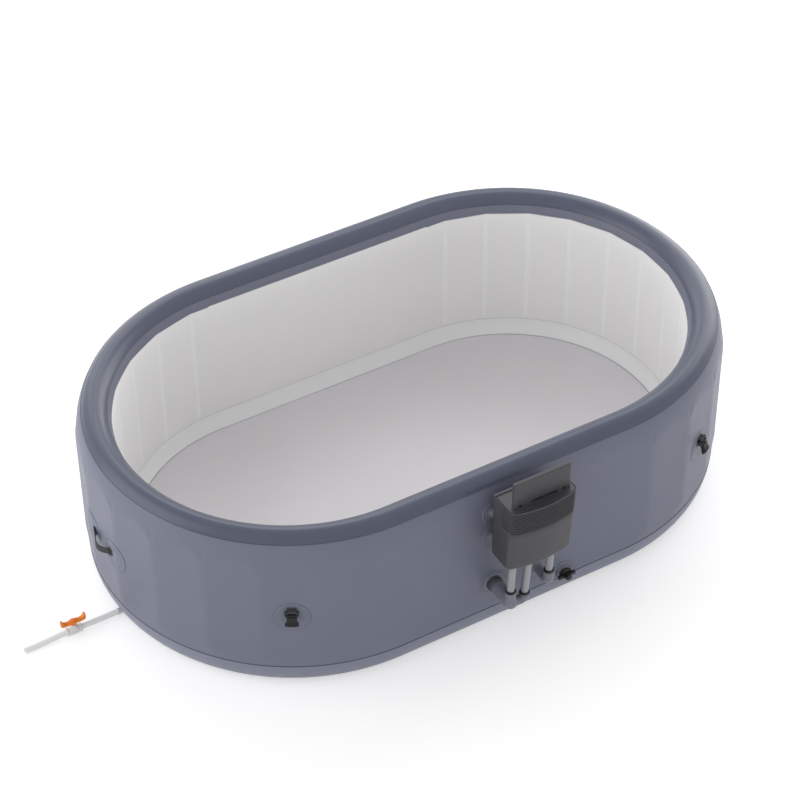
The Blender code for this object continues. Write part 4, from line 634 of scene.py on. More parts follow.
class Palette:
    """Every material of the tub, made once."""

    def __init__(self) -> None:
        """Make the materials."""
        vinyl, moulded = CalenderedVinyl, MouldedPlastic
        # Welded PVC sheet: satin, so its curves pick up a broad pale sheen where they turn away
        self.wall = vinyl("pvc_sheet_slate", "6c7081", 0.46, 0.035).build()
        # Painted light: the skirt is the wall's slate sheet painted lighter, standing in for light thrown up
        # from the floor
        self.skirt = vinyl("pvc_sheet_slate_skirt", "7f8394", 0.46, 0.035).build()
        # Partly painted shade: the roll is a darker slate, and its colour is also darkened to stand in for a
        # dark overhead reflection on its top
        self.crown = vinyl("pvc_sheet_dark_slate", "4c5265", 0.3, 0.04).build()
        self.band = vinyl("pvc_sheet_slate_band", "6c6f7f", 0.46, 0.04).build()
        self.liner = vinyl("pvc_sheet_pale_grey", "e9e8e8", 0.5, 0.015, grain_height_mm=0.04).build()
        self.floor = vinyl("pvc_sheet_warm_grey", "dddadd", 0.55, 0.02, grain_height_mm=0.04).build()
        self.cove = vinyl("pvc_sheet_cool_white", "e5e5e6", 0.5, 0.015, grain_height_mm=0.04).build()
        self.weld = vinyl("pvc_weld_band_white", "ededee", 0.44, 0.01, grain_height_mm=0.02).build()
        # Heat-sealed bead: the sheet melts there, so it is darker and glossier than the sheet
        self.bead_dark = Finish("pvc_heat_seal_dark", "4b4e5b", 0.35, 0.05, 40.0).build()
        self.bead_pale = Finish("pvc_heat_seal_grey", "c6c6c9", 0.4, 0.03, 40.0).build()
        # Webbing: matt dark yarn
        self.webbing = WovenWebbing("polypropylene_webbing", "37363a", 0.8, 0.12, 12.0,
                                    grain_height_mm=0.35).build()
        self.thread = Finish("polyester_thread", "57565a", 0.7, 0.1, 8.0, 0.6, 0.08).build()
        # Acetal and nylon fittings: deep black with a soft gloss
        self.black = moulded("acetal_black_moulded", "121215", 0.46, 0.15, 25.0, 0.9, 0.05, 1.42).build()
        # ABS case: dark warm grey with a matt spark grain
        self.case = moulded("abs_dark_grey_moulded", "3f3e43", 0.5, 0.05, 70.0, 1.1, 0.06).build()
        self.rib = moulded("abs_charcoal_ribs", "444348", 0.5, 0.05, 70.0, 1.1, 0.05).build()
        self.slate_plastic = moulded("abs_slate_moulded", "757883", 0.42, 0.06, 35.0, 1.0, 0.05).build()
        self.nut = moulded("abs_dark_slate_nut", "4c4e57", 0.42, 0.06, 20.0, 1.0, 0.05).build()
        self.key = moulded("silicone_key_grey", "8e8e92", 0.6, 0.04, 15.0, 0.7, 0.04).build()
        self.glass = Finish("acrylic_display_window", "101318", 0.12, 0.2, 30.0, grain_height_mm=0.0,
                            coat=0.6).build()
        self.digit = Finish("display_segments_pale", "9fb4c4", 0.4, 0.05, 10.0, grain_height_mm=0.0).build()
        # Flexible milky PVC hose, glossier than the sheet: painted grey on the pump's hoses as shade under
        # the case, and painted a little lighter on the free hose against the tub's shade
        self.hose = Finish("pvc_hose_light_grey", "9c9ca1", 0.36, 0.05, 30.0, 2.0, 0.05).build()
        self.free_hose = Finish("pvc_hose_white", "eeeff0", 0.34, 0.03, 30.0, 2.0, 0.05).build()
        self.valve = moulded("pvc_valve_white", "dfe0e1", 0.36, 0.03, 20.0, 0.8, 0.04).build()
        self.lever = moulded("abs_orange_moulded", "ee7c06", 0.34, 0.06, 20.0, 0.8, 0.04).build()
        # Painted shade: dark discs and plates put where holes and slots are, standing in for the shade inside
        # them
        self.bore = Finish("shaded_bore_grey", "4a4a4d", 0.8, 0.1, 10.0).build()
        self.pale_plastic = moulded("abs_pale_grey_moulded", "cfd0d2", 0.4, 0.03, 20.0, 0.9, 0.05).build()
        self.fan = moulded("nylon_fan_grey", "9b9b9e", 0.5, 0.05, 20.0, 0.9, 0.05).build()
        # Turned steel and cast aluminium inside the unit
        self.motor = BrushedMetal("aluminium_motor_can", "a9aaac", 0.38, 0.08, 30.0, 0.6, 0.05,
                                  metallic=1.0).build()
        self.ball = BrushedMetal("stainless_ball", "c6c7c9", 0.22, 0.04, 20.0, 0.4, 0.02,
                                 metallic=1.0).build()


# The inflated shell


@dataclass(frozen=True)
class Oval:
    """The tub's plan: two round ends joined by straight sides, and the section of its wall."""

    outer_half: float = 0.4625
    outer_radius: float = 0.7875
    inner_half: float = 0.475
    inner_radius: float = 0.64
    crown_base: float = 0.598
    crown_rise: float = 0.112
    seam_low: float = 0.101
    seam_pinch: float = 0.0022
    pinch_height: float = 0.01
    skirt_share: float = 0.44
    panel_deg: float = 15.0
    creases: int = 12
    crease_deg: float = 1.1
    panel_top: float = 0.636
    panel_top_fade: float = 0.04
    crease_drop: float = 0.03
    panel_foot: float = 0.105
    panel_foot_fade: float = 0.05
    pool_swell: float = 0.0032
    pool_top: float = 0.664
    pool_top_fade: float = 0.09
    pool_foot: float = 0.112
    pool_foot_fade: float = 0.07
    end_steps: int = 240
    side_steps: int = 20

    def stations(self) -> tuple[np.ndarray, np.ndarray, np.ndarray, np.ndarray]:
        """List places round the oval, seen from above, anticlockwise from the front right.

        Returns:
            Outer and inner plan points, outward directions, and each place's angle within its panel
            in degrees, which is 0 on the straight sides.
        """
        outer, inner, normal, local = [], [], [], []
        faces = ((outer, self.outer_half, self.outer_radius), (inner, self.inner_half, self.inner_radius))
        for side in (1.0, -1.0):
            for i in range(self.end_steps + 1):
                degrees = -90.0 + 180.0 * i / self.end_steps
                angle = math.radians(degrees)
                away = (side * math.cos(angle), side * math.sin(angle))
                normal.append(away)
                local.append(degrees - self.panel_deg * round(degrees / self.panel_deg))
                for plan, half, radius in faces:
                    plan.append((side * half + radius * away[0], radius * away[1]))
            for i in range(1, self.side_steps):
                share = 1 - 2 * i / self.side_steps
                normal.append((0.0, side))
                local.append(0.0)
                for plan, half, radius in faces:
                    plan.append((side * half * share, side * radius))
        return np.array(outer), np.array(inner), np.array(normal), np.array(local)

    def crown(self, degrees: float) -> Row:
        """Return (depth, height) on the rounded top: 180 is the outer face and 0 the pool face."""
        angle = math.radians(degrees)
        return (1 + math.cos(angle)) / 2, self.crown_base + self.crown_rise * math.sin(angle)

    def skirt(self, share: float) -> Row:
        """Return (depth, height) on the turned-under edge: share 0 is its seam and 1 the ground."""
        angle = math.pi / 2 * share
        return self.skirt_share * (1 - math.cos(angle)), self.seam_low * (1 - math.sin(angle))

    def panel_push(self, height: float, local: np.ndarray) -> np.ndarray:
        """Return how far the outer face stands beyond the plain oval at a height.

        The flat panels between the tie webs touch the oval at their middles and meet in soft
        creases, which fade out under the roll and above the skirt.

        Args:
            height: the height on the wall.
            local: angles within the panels, in degrees.

        Returns:
            Outward offsets.
        """
        half = self.panel_deg / 2
        edge = np.abs(local) / half
        flat = self.outer_radius * (1 / np.cos(np.radians(local)) - 1)
        past = np.radians(np.clip(np.abs(local) - (half - self.crease_deg), 0, None))
        slope = self.outer_radius * math.tan(math.radians(half))
        flat = flat - slope * past ** 2 / (2 * math.radians(self.crease_deg))
        ceiling = self.panel_top - self.crease_drop * edge ** 8
        top = np.clip((ceiling - height) / self.panel_top_fade, 0, 1)
        low = np.clip((height - self.panel_foot) / self.panel_foot_fade, 0, 1)
        fade = top * top * (3 - 2 * top) * low * low * (3 - 2 * low)
        pinch = self.seam_pinch * math.exp(-((height - self.seam_low) / self.pinch_height) ** 2)
        return fade * flat - pinch

    def pool_push(self, height: float, local: np.ndarray) -> np.ndarray:
        """Return how far the pool face swells inwards between its weld bands at a height.

        Args:
            height: the height on the wall.
            local: angles within the panels, in degrees.

        Returns:
            Offsets towards the pool.
        """
        shape = np.where(local == 0.0, 1.0, 1 - (np.abs(local) / (self.panel_deg / 2)) ** 2.2)
        top = np.clip((self.pool_top - height) / self.pool_top_fade, 0, 1)
        low = np.clip((height - self.pool_foot) / self.pool_foot_fade, 0, 1)
        return self.pool_swell * shape * top * low * (2 - low)


@dataclass
class Shell:
    """The tub's welded sheets: wall, roll, band, liner, cove, floor and skirt."""

    palette: Palette
    oval: Oval
    outer_seam_deg: float = 133.0
    inner_seam_deg: float = 44.0
    band_edge_deg: float = 25.0
    sheet_gap_deg: float = 0.4
    band_wave: float = 0.004
    cove_top: float = 0.115
    cove_reach: float = 1.26
    cove_sag: float = 0.0018
    floor: float = 0.06
    floor_swell: float = 0.0012
    thickness: float = 0.0011

    def __post_init__(self) -> None:
        """Lay out the oval."""
        self.outer, self.inner, self.normal, self.local = self.oval.stations()
        self.round_end = np.where(np.abs(self.normal[:, 0]) > 1e-6, 1.0, 0.0)

    def ring(self, depth: float, height: float, push: np.ndarray | float = 0.0,
             drop: np.ndarray | float = 0.0) -> np.ndarray:
        """Return the points of one level line round the oval.

        Args:
            depth: 0 on the outer face and 1 on the pool face.
            height: its height.
            push: outward offsets.
            drop: offsets downwards.

        Returns:
            Points, one a station.
        """
        plan = self.outer + (self.inner - self.outer) * depth + self.normal * np.reshape(push, (-1, 1))
        return np.column_stack([plan, np.full(len(plan), height) - drop])

    def pool_ring(self, degrees: float, wave: float) -> np.ndarray:
        """Return a level line on the pool side of the roll.

        Args:
            degrees: its place on the rounded top.
            wave: how much of the wave of the band's lower edge it has, up to 1.

        Returns:
            Points, one a station.
        """
        depth, z = self.oval.crown(degrees)
        edge = np.abs(self.local) / (self.oval.panel_deg / 2)
        drop = self.band_wave * self.round_end * (1 - edge ** 2) * wave
        return self.ring(depth, z, -self.oval.pool_push(z, self.local), drop)

    def sheet(self, name: str, rings: Sequence[np.ndarray], material: Material, slot: Slot,
              node: str, cap: bool = False) -> None:
        """Build one sheet from level lines that run from its outside low edge inwards.

        Args:
            name: the piece's name.
            rings: level lines.
            material: its material.
            slot: the record's slot.
            node: the node that it stands for.
            cap: whether the first ring is filled.
        """
        count = len(self.local)
        points = np.concatenate(rings)
        faces = grid_faces(len(rings), count, around=True)
        if cap:
            faces.append(tuple(range(count))[::-1])
        mesh = thickened(mesh_from(name, points, faces, closed=False), self.thickness, even=True)
        finish_piece(name, mesh, material, slot, node)

    def build(self) -> None:
        """Build every sheet and the seams between them."""
        self.build_wall()
        self.build_roll()
        self.build_pool()
        self.build_base()
        self.build_seams()

    def build_wall(self) -> None:
        """Build the panelled outer wall up to the roll's seam."""
        oval = self.oval
        heights = [oval.seam_low + z for z in (0.0004, 0.004, 0.009, 0.015, 0.022, 0.032, 0.044, 0.06)]
        heights += list(np.linspace(0.19, 0.5, 8)) + list(np.linspace(0.52, oval.crown_base, 10))
        rings = [self.ring(0.0, z, oval.panel_push(z, self.local)) for z in heights]
        for degrees in np.linspace(178.0, self.outer_seam_deg, 12):
            depth, z = oval.crown(degrees)
            rings.append(self.ring(depth, z, oval.panel_push(z, self.local)))
        self.sheet("outer_wall_sheet", rings, self.palette.wall, Slot.SHELL, "outer_skin")

    def build_roll(self) -> None:
        """Build the smooth roll along the top, darker than the wall partly in its own tone and partly by
        painted shade.
        """
        gap = self.sheet_gap_deg
        rings = [self.ring(*self.oval.crown(degrees))
                 for degrees in np.linspace(self.outer_seam_deg - gap, self.inner_seam_deg + gap, 26)]
        self.sheet("crown_roll_sheet", rings, self.palette.crown, Slot.CROWN, "top_roll")

    def build_pool(self) -> None:
        """Build the pool side: slate band, pale liner, cove strip and floor."""
        seam, edge = self.inner_seam_deg, self.band_edge_deg
        palette, oval = self.palette, self.oval
        rings = [self.pool_ring(d, (seam - d) / (seam - edge))
                 for d in np.linspace(seam - self.sheet_gap_deg, edge, 8)]
        self.sheet("pool_band_sheet", rings, palette.band, Slot.CROWN, "inner_band")
        rings = [self.pool_ring(d, d / edge) for d in np.linspace(edge - 0.5, 0.0, 7)]
        heights = [*np.linspace(0.57, 0.2, 9), 0.175, 0.155, 0.14, 0.128, 0.12, self.cove_top + 0.0006]
        rings += [self.ring(1.0, z, -oval.pool_push(z, self.local)) for z in heights]
        self.sheet("pool_liner_sheet", rings, palette.liner, Slot.LINER, "inner_liner")
        rings = []
        for share in np.linspace(0.0, 1.0, 9):
            fall = (self.cove_top - self.floor) * share ** 0.8 + self.cove_sag * math.sin(math.pi * share)
            rings.append(self.ring(1.0 + (self.cove_reach - 1.0) * share, self.cove_top - fall))
        self.sheet("pool_cove_sheet", rings, palette.cove, Slot.WELD, "cove_strip")
        self.build_floor()

    def build_floor(self) -> None:
        """Build the pool floor, pressed almost flat, with slow low swells where air lies under it."""
        rings = []
        edge = self.outer + (self.inner - self.outer) * self.cove_reach * 1.003
        for share in np.linspace(0.002, 1.0, 22):
            plan = edge * (1 - share)
            swell = np.sin(plan[:, 0] * 9.0) * np.sin(plan[:, 1] * 11.0) * min(1, share * 8)
            rings.append(np.column_stack([plan, self.floor + self.floor_swell * swell]))
        self.sheet("pool_floor_sheet", rings, self.palette.floor, Slot.LINER, "floor_sheet")

    def build_base(self) -> None:
        """Build the skirt that turns under the wall, and the sheet on the ground."""
        rings = [self.ring(*self.oval.skirt(share)) for share in np.linspace(1.0, 0.0, 14)]
        # The seam pulls the skirt's top edge in
        rings[-1] = self.ring(0.0, self.oval.seam_low - 0.0004, -self.oval.seam_pinch)
        rings[-2][:, :2] -= self.normal * 0.001
        self.sheet("base_skirt_sheet", rings, self.palette.skirt, Slot.SHELL, "base_tray", cap=True)

    def bead(self, ring: np.ndarray, radius: float) -> Mesh:
        """Make a closed bead along a level line.

        Args:
            ring: its centreline.
            radius: its radius.

        Returns:
            The mesh.
        """
        section = circle(6, radius)
        rings = [[(x + out_x * reach, y + out_y * reach, z + rise) for reach, rise in section]
                 for (x, y, z), (out_x, out_y) in zip(ring, self.normal)]
        return loft("bead", rings, capped=False)

    def build_seams(self) -> None:
        """Build the heat-sealed beads where the sheets meet."""
        oval, middle = self.oval, self.sheet_gap_deg / 2
        dark = [self.bead(self.ring(*oval.crown(self.outer_seam_deg - middle)), 0.0017),
                self.bead(self.ring(0.0, oval.seam_low, -oval.seam_pinch), 0.002),
                self.bead(self.pool_ring(self.inner_seam_deg, 0.0), 0.0017)]
        finish_piece("seam_beads_slate", joined("seams", dark), self.palette.bead_dark, Slot.CROWN)
        pale = [self.bead(self.pool_ring(self.band_edge_deg - 0.25, 1.0), 0.0012),
                self.bead(self.ring(1.0, self.cove_top + 0.0003), 0.0013),
                self.bead(self.ring(self.cove_reach, self.floor + 0.0005), 0.0014)]
        finish_piece("seam_beads_pale", joined("seams", pale), self.palette.bead_pale, Slot.WELD)


# Geometry Nodes


class Pattern:
    """A Geometry Nodes tree with named inputs that repeats something along a carrier mesh."""

    def __init__(self, name: str, sizes: dict[str, float | int]) -> None:
        """Start the tree.

        Args:
            name: the tree's name.
            sizes: its named inputs and their values, whole numbers for counts.
        """
        self.tree = bpy.data.node_groups.new(name, "GeometryNodeTree")
        face = self.tree.interface
        face.new_socket("Geometry", in_out="INPUT", socket_type="NodeSocketGeometry")
        face.new_socket("Geometry", in_out="OUTPUT", socket_type="NodeSocketGeometry")
        self.sizes = sizes
        self.keys = {}
        for label, value in sizes.items():
            kind = "NodeSocketInt" if isinstance(value, int) else "NodeSocketFloat"
            self.keys[label] = face.new_socket(label, in_out="INPUT", socket_type=kind).identifier
        self.start = add_node(self.tree, "NodeGroupInput").outputs

    def add(self, kind: str, settings: dict[str, Any] | None = None,
            inputs: dict[str | int, Any] | None = None) -> NodeOutputs:
        """Add a node to the tree and return its outputs."""
        return add_node(self.tree, kind, settings, inputs).outputs

    def close(self, shape: NodeSocket, material: Material) -> None:
        """End the tree: realise what repeats and give it its material.

        Args:
            shape: the geometry to end with.
            material: its material.
        """
        real = self.add("GeometryNodeRealizeInstances", inputs={0: shape})
        dressed = self.add("GeometryNodeSetMaterial", inputs={"Geometry": real[0], "Material": material})
        add_node(self.tree, "NodeGroupOutput", inputs={0: dressed[0]})

    def bake(self, carrier: Mesh) -> Mesh:
        """Run the tree on a carrier and return the plain mesh.

        Args:
            carrier: the mesh that it starts from, which is removed.

        Returns:
            The result.
        """
        holder = new_object("carrier", carrier)
        modifier = holder.modifiers.new("Pattern", "NODES")
        modifier.node_group = self.tree
        for label, value in self.sizes.items():
            modifier[self.keys[label]] = value
        return baked_mesh(holder)


def repeated(name: str, shape: Mesh, count: int, material: Material,
             matrix: Matrix | None = None, pitch: float | None = None) -> Mesh:
    """Repeat a mesh round local Z.

    Args:
        name: the tree's name.
        shape: the first one, in its place round the axis.
        count: how many there are.
        material: their material.
        matrix: where the axis goes.
        pitch: the angle from one to the next, or a full turn shared out.

    Returns:
        All of them as one mesh.
    """
    pattern = Pattern(name, {"Count": count, "Pitch": pitch or 2 * math.pi / count})
    sizes = pattern.start
    line = pattern.add("GeometryNodeMeshLine", inputs={"Count": sizes["Count"], "Offset": (0.0, 0.0, 0.0)})
    place = pattern.add("GeometryNodeInputIndex")
    turn = pattern.add("ShaderNodeMath", {"operation": "MULTIPLY"}, {0: place[0], 1: sizes["Pitch"]})
    about = pattern.add("ShaderNodeCombineXYZ", inputs={"Z": turn[0]})
    rows = pattern.add("GeometryNodeInstanceOnPoints",
                       inputs={"Points": line[0], "Instance": sizes["Geometry"], "Rotation": about[0]})
    pattern.close(rows[0], material)
    mesh = pattern.bake(shape)
    mesh.transform(matrix or Matrix())
    return mesh


def polyline(points: Sequence[Sequence[float]], closed: bool = False) -> Mesh:
    """Make a mesh of edges through points, to carry a pattern."""
    mesh = bpy.data.meshes.new("line")
    edges = [(i, i + 1) for i in range(len(points) - 1)]
    if closed:
        edges.append((len(points) - 1, 0))
    mesh.from_pydata([tuple(map(float, p)) for p in points], edges, [])
    return mesh


def stitches(line: Sequence[Sequence[float]], material: Material, pitch: float = 0.0045,
             length: float = 0.003, thread: float = 0.0005, closed: bool = False) -> Mesh:
    """Sew a row of stitches along a line.

    Args:
        line: places along the seam.
        material: the thread's material.
        pitch: distance between stitches.
        length: length of a stitch.
        thread: radius of the thread.
        closed: whether the seam ends where it starts.

    Returns:
        The stitches as one mesh.
    """
    pattern = Pattern("stitch_row", {"Pitch": pitch, "Length": length, "Thread": thread})
    sizes = pattern.start
    path = pattern.add("GeometryNodeMeshToCurve", inputs={"Mesh": sizes["Geometry"]})
    spots = pattern.add("GeometryNodeCurveToPoints", {"mode": "LENGTH"},
                        {"Curve": path[0], "Length": sizes["Pitch"]})
    stitch = pattern.add("GeometryNodeMeshCylinder",
                         inputs={"Vertices": 6, "Radius": sizes["Thread"], "Depth": sizes["Length"]})
    turned = pattern.add("FunctionNodeAlignRotationToVector", {"axis": "Z"}, {"Vector": spots["Tangent"]})
    rows = pattern.add("GeometryNodeInstanceOnPoints",
                       inputs={"Points": spots["Points"], "Instance": stitch["Mesh"], "Rotation": turned[0]})
    pattern.close(rows[0], material)
    return pattern.bake(polyline(line, closed))


# Things on the wall


@dataclass(frozen=True)
class Patch:
    """A round welded patch with pressed rings, and a dark line where its edge is sealed."""

    radius: float
    rings: tuple[float, ...] = (0.9, 0.62)
    lift: float = 0.0013
    rim: float = 0.0014
    sunk: float = 0.0006
    ring_height: float = 0.0012
    ring_width: float = 0.0018
    seal: float = 0.0007
    least_hole: float = 0.0008
    steps: int = 72

    def height(self, reach: float) -> float:
        """Return how far the patch stands off the wall at a distance from its middle."""
        edge = min(1.0, (self.radius - reach) / self.rim)
        rise = self.lift * max(0.0, edge) ** 0.5
        for share in self.rings:
            rise += self.ring_height * math.exp(-((reach - share * self.radius) / self.ring_width) ** 2)
        return rise

    def build(self, spot: Spot, hole: float = 0.0) -> Mesh:
        """Make the patch as a closed mesh.

        Args:
            spot: turns an offset along the wall, an offset upwards and a lift into a place.
            hole: radius of the hole for a fitting, or 0.

        Returns:
            The mesh.
        """
        inner = max(hole, self.least_hole)
        edge = [self.radius - x for x in (0.0, 0.0005, self.rim)]
        raised = [share * self.radius + x * self.ring_width
                  for share in self.rings for x in (2, 1, 0, -1, -2)]
        reaches = {*edge, *raised, *np.linspace(self.radius * 0.95, inner, 9)}
        profile = [(r, self.height(r)) for r in sorted(reaches, reverse=True) if inner <= r <= self.radius]
        profile += [(inner, -self.sunk), (self.radius, -self.sunk)]
        rings = [[spot(*at, lift) for at in circle(self.steps, reach)] for reach, lift in profile]
        return loft("patch", rings, capped=False)

    def outline(self, spot: Spot) -> Mesh:
        """Make the sealed line round the patch, placed as it is."""
        line = [spot(*at, 0.0002) for at in circle(self.steps, self.radius + 0.0003)]
        return ring_bead(line, self.seal, 6)


@dataclass(frozen=True)
class WallDressing:
    """What is welded or sewn to the outer wall: patches, carry handles and buckles."""

    palette: Palette
    oval: Oval
    patch_radius: float = 0.065
    buckle_deg: float = 60.0
    buckle_height: float = 0.357
    hinge_height: float = 0.393
    stand_off: float = 0.0113
    tilt: float = math.radians(22.0)
    handle_height: float = 0.347
    handle_patch_offset: float = 0.09
    half_span: float = 0.062
    tail: float = 0.012
    strap_width: float = 0.027
    strap: float = 0.0024
    seat: float = 0.0016
    bow: float = 0.0222
    droop: float = 0.012
    tab_half: float = 0.0158
    tab: float = 0.0015

    def on_end(self, side: float, degrees: float, height: float) -> Spot:
        """Return the function that places things on a round end, from a middle on it.

        Args:
            side: -1 for the left end and 1 for the right.
            degrees: the middle's angle from the end's tip, towards the back.
            height: the middle's height.

        Returns:
            A function of an offset along the wall, one upwards and a lift.
        """
        oval = self.oval

        def spot(along: float, up: float, lift: float) -> Vector:
            turn = degrees + side * math.degrees(along / oval.outer_radius)
            local = turn - oval.panel_deg * round(turn / oval.panel_deg)
            reach = oval.outer_radius + float(oval.panel_push(height + up, np.array([local]))[0]) + lift
            angle = math.radians(turn)
            x = side * (oval.outer_half + reach * math.cos(angle))
            return Vector((x, reach * math.sin(angle), height + up))

        return spot

    def build(self) -> None:
        """Build the handles and the buckles."""
        for end, side in (("left", -1.0), ("right", 1.0)):
            self.build_handle(end, side)
            for row, way in (("front", -1.0), ("back", 1.0)):
                self.build_buckle(f"{row}_{end}", side, way)

    def add_patch(self, name: str, patch: Patch, spot: Spot, node: str, hole: float = 0.0) -> None:
        """Add a patch and its sealed line.

        Args:
            name: the patch's name.
            patch: its sizes.
            spot: where it goes.
            node: the node that it stands for, or nothing.
            hole: radius of its hole, or 0.
        """
        palette = self.palette
        finish_piece(name, patch.build(spot, hole), palette.wall, Slot.SHELL, node)
        finish_piece(f"{name}_seal", patch.outline(spot), palette.bead_dark, Slot.SHELL)

    def build_handle(self, end: str, side: float) -> None:
        """Build a carry strap, its loops, its stitches and its two patches.

        Args:
            end: the end's name.
            side: -1 for the left end and 1 for the right.
        """
        palette = self.palette
        shift = math.degrees(self.handle_patch_offset / self.oval.outer_radius)
        for label, way in (("near", -1.0), ("far", 1.0)):
            spot = self.on_end(side, way * shift, self.handle_height)
            place = f"{end}_{label}"
            self.add_patch(f"handle_weld_{place}", Patch(self.patch_radius), spot, f"handle_patch_{place}")
        spot = self.on_end(side, 0.0, self.handle_height)
        steps, tail_steps, half = 40, 3, self.half_span
        edges = np.linspace(-0.5, 0.5, 7)
        section = [(edge, 0.0) for edge in edges] + [(edge, 1.0) for edge in reversed(edges)]
        rings = []
        for i in range(-tail_steps, steps + tail_steps + 1):
            middle = i - steps / 2
            past = max(0.0, abs(middle) - steps / 2) / tail_steps
            run = 2 * half * middle / steps
            if past:
                run = math.copysign(half + self.tail * past, middle)
            bow = math.sin(math.pi * i / steps) ** 1.2 if 0 < i < steps else 0.0
            ring = []
            for edge, face in section:
                cup = 0.001 * (1 - 4 * edge * edge) * bow
                lift = self.seat + self.bow * bow + self.strap * (face + bow * (0.5 - edge)) - cup
                ring.append(spot(run, edge * self.strap_width - self.droop * bow, lift))
            rings.append(ring)
        finish_piece(f"carry_strap_{end}", loft("strap", rings), palette.webbing, Slot.WEBBING,
                     f"handle_strap_{end}")
        sewn, loops = [], []
        low, high, wide = half + 0.0015, half + self.tail - 0.0015, self.strap_width / 2 - 0.003
        for way in (-1.0, 1.0):
            box = ((low, -wide), (high, -wide), (high, wide), (low, wide))
            line = [spot(way * a, b, self.seat + self.strap) for a, b in box]
            sewn.append(stitches(line, palette.thread, closed=True))
            arch = mm([(-15.5, 1.4), (-15.5, 6.6), (15.5, 6.6), (15.5, 1.4)])
            loop = [spot(way * (half - 0.004), up, lift) for up, lift in arch]
            loops.append(tube(smooth_path(loop, 18), [0.0016] * 19, 10))
        finish_piece(f"carry_strap_stitches_{end}", joined("stitches", sewn), palette.thread, Slot.WEBBING)
        finish_piece(f"carry_strap_loops_{end}", joined("loops", loops), palette.black, Slot.BLACK)

    def build_buckle(self, label: str, side: float, way: float) -> None:
        """Build a side-release buckle socket on its webbing tab and patch.

        Args:
            label: where it is.
            side: -1 for the left end and 1 for the right.
            way: -1 for the front and 1 for the back.
        """
        palette = self.palette
        spot = self.on_end(side, way * self.buckle_deg, self.buckle_height)
        self.add_patch(f"buckle_weld_{label}", Patch(self.patch_radius), spot, f"buckle_tab_{label}")
        angle = math.radians(self.buckle_deg)
        away = Vector((side * math.cos(angle), way * math.sin(angle), 0.0))
        run = UP.cross(away)
        hinge = spot(0.0, self.hinge_height - self.buckle_height, self.stand_off)
        frame = Matrix.Translation(hinge) @ upright(run, -away, UP)
        half = self.tab_half
        path = mm([(9.6, -34), (9.6, -20), (9, -10), (4.5, -7)])
        path += [(-0.0064 * math.cos(a), 0.0064 * math.sin(a)) for a in np.linspace(-1.5, 1.5, 9)]
        path += mm([(4.6, 6.8), (8.8, 8), (9.8, 11)])
        strip = []
        for k, (y, z) in enumerate(path):
            before, after = path[max(k - 1, 0)], path[min(k + 1, len(path) - 1)]
            slope = Vector((after[0] - before[0], after[1] - before[1])).normalized()
            thick = Vector((-slope.y, slope.x)) * self.tab / 2
            strip.append([frame @ Vector((end * half, y + face * thick.x, z + face * thick.y))
                          for end, face in ((-1, 1), (1, 1), (1, -1), (-1, -1))])
        finish_piece(f"buckle_webbing_{label}", loft("tab", strip), palette.webbing, Slot.WEBBING)
        seams = [stitches([frame @ Vector((x, 0.0086, z)) for x in (-half + 0.003, half - 0.003)],
                          palette.thread, 0.004, 0.0028) for z in (0.0086, 0.01)]
        finish_piece(f"buckle_stitches_{label}", joined("stitches", seams), palette.thread, Slot.WEBBING)
        tilted = frame @ Matrix.Rotation(-self.tilt, 4, "X")
        finish_piece(f"buckle_socket_{label}", self.buckle_mesh(tilted), palette.black, Slot.BLACK,
                     f"buckle_{label}", f"buckle_{label}")

    def buckle_mesh(self, frame: Matrix) -> Mesh:
        """Make the buckle socket hanging from its bar.

        Args:
            frame: X along the bar, -Y outwards and Z up.

        Returns:
            The mesh.
        """
        parts = [tube([frame @ Vector((x, 0.0, 0.0)) for x in (-0.0235, 0.0235)], [0.0027] * 2, 16)]
        for way in (-1.0, 1.0):
            xs = sorted((way * 0.0192, way * 0.0246))
            parts.append(block((xs[0], -0.0044, -0.0128), (xs[1], 0.0044, 0.0022), 0.0014, frame))
        parts.append(block((-0.0246, -0.0044, -0.0172), (0.0246, 0.0044, -0.0112), 0.0016, frame))
        flat = frame @ Matrix.Rotation(math.pi / 2, 4, "X")
        half = mm([(22.5, -14), (18.6, -20.5), (17.6, -33), (20.5, -39.2), (24.6, -43), (24.6, -51.8),
                   (22.2, -54.5)])
        outline = half + [(-x, z) for x, z in reversed(half)]
        parts.append(plate(outline, 0.0088, flat, 0.0014))
        parts.append(block((-0.0158, -0.0086, -0.0538), (0.0158, -0.002, -0.0182), 0.0022, frame))
        for z in (-0.048, -0.0445, -0.041):
            parts.append(block((-0.013, -0.0093, z), (0.013, -0.008, z + 0.0016), 0.0005, frame))
        return joined("buckle", parts)


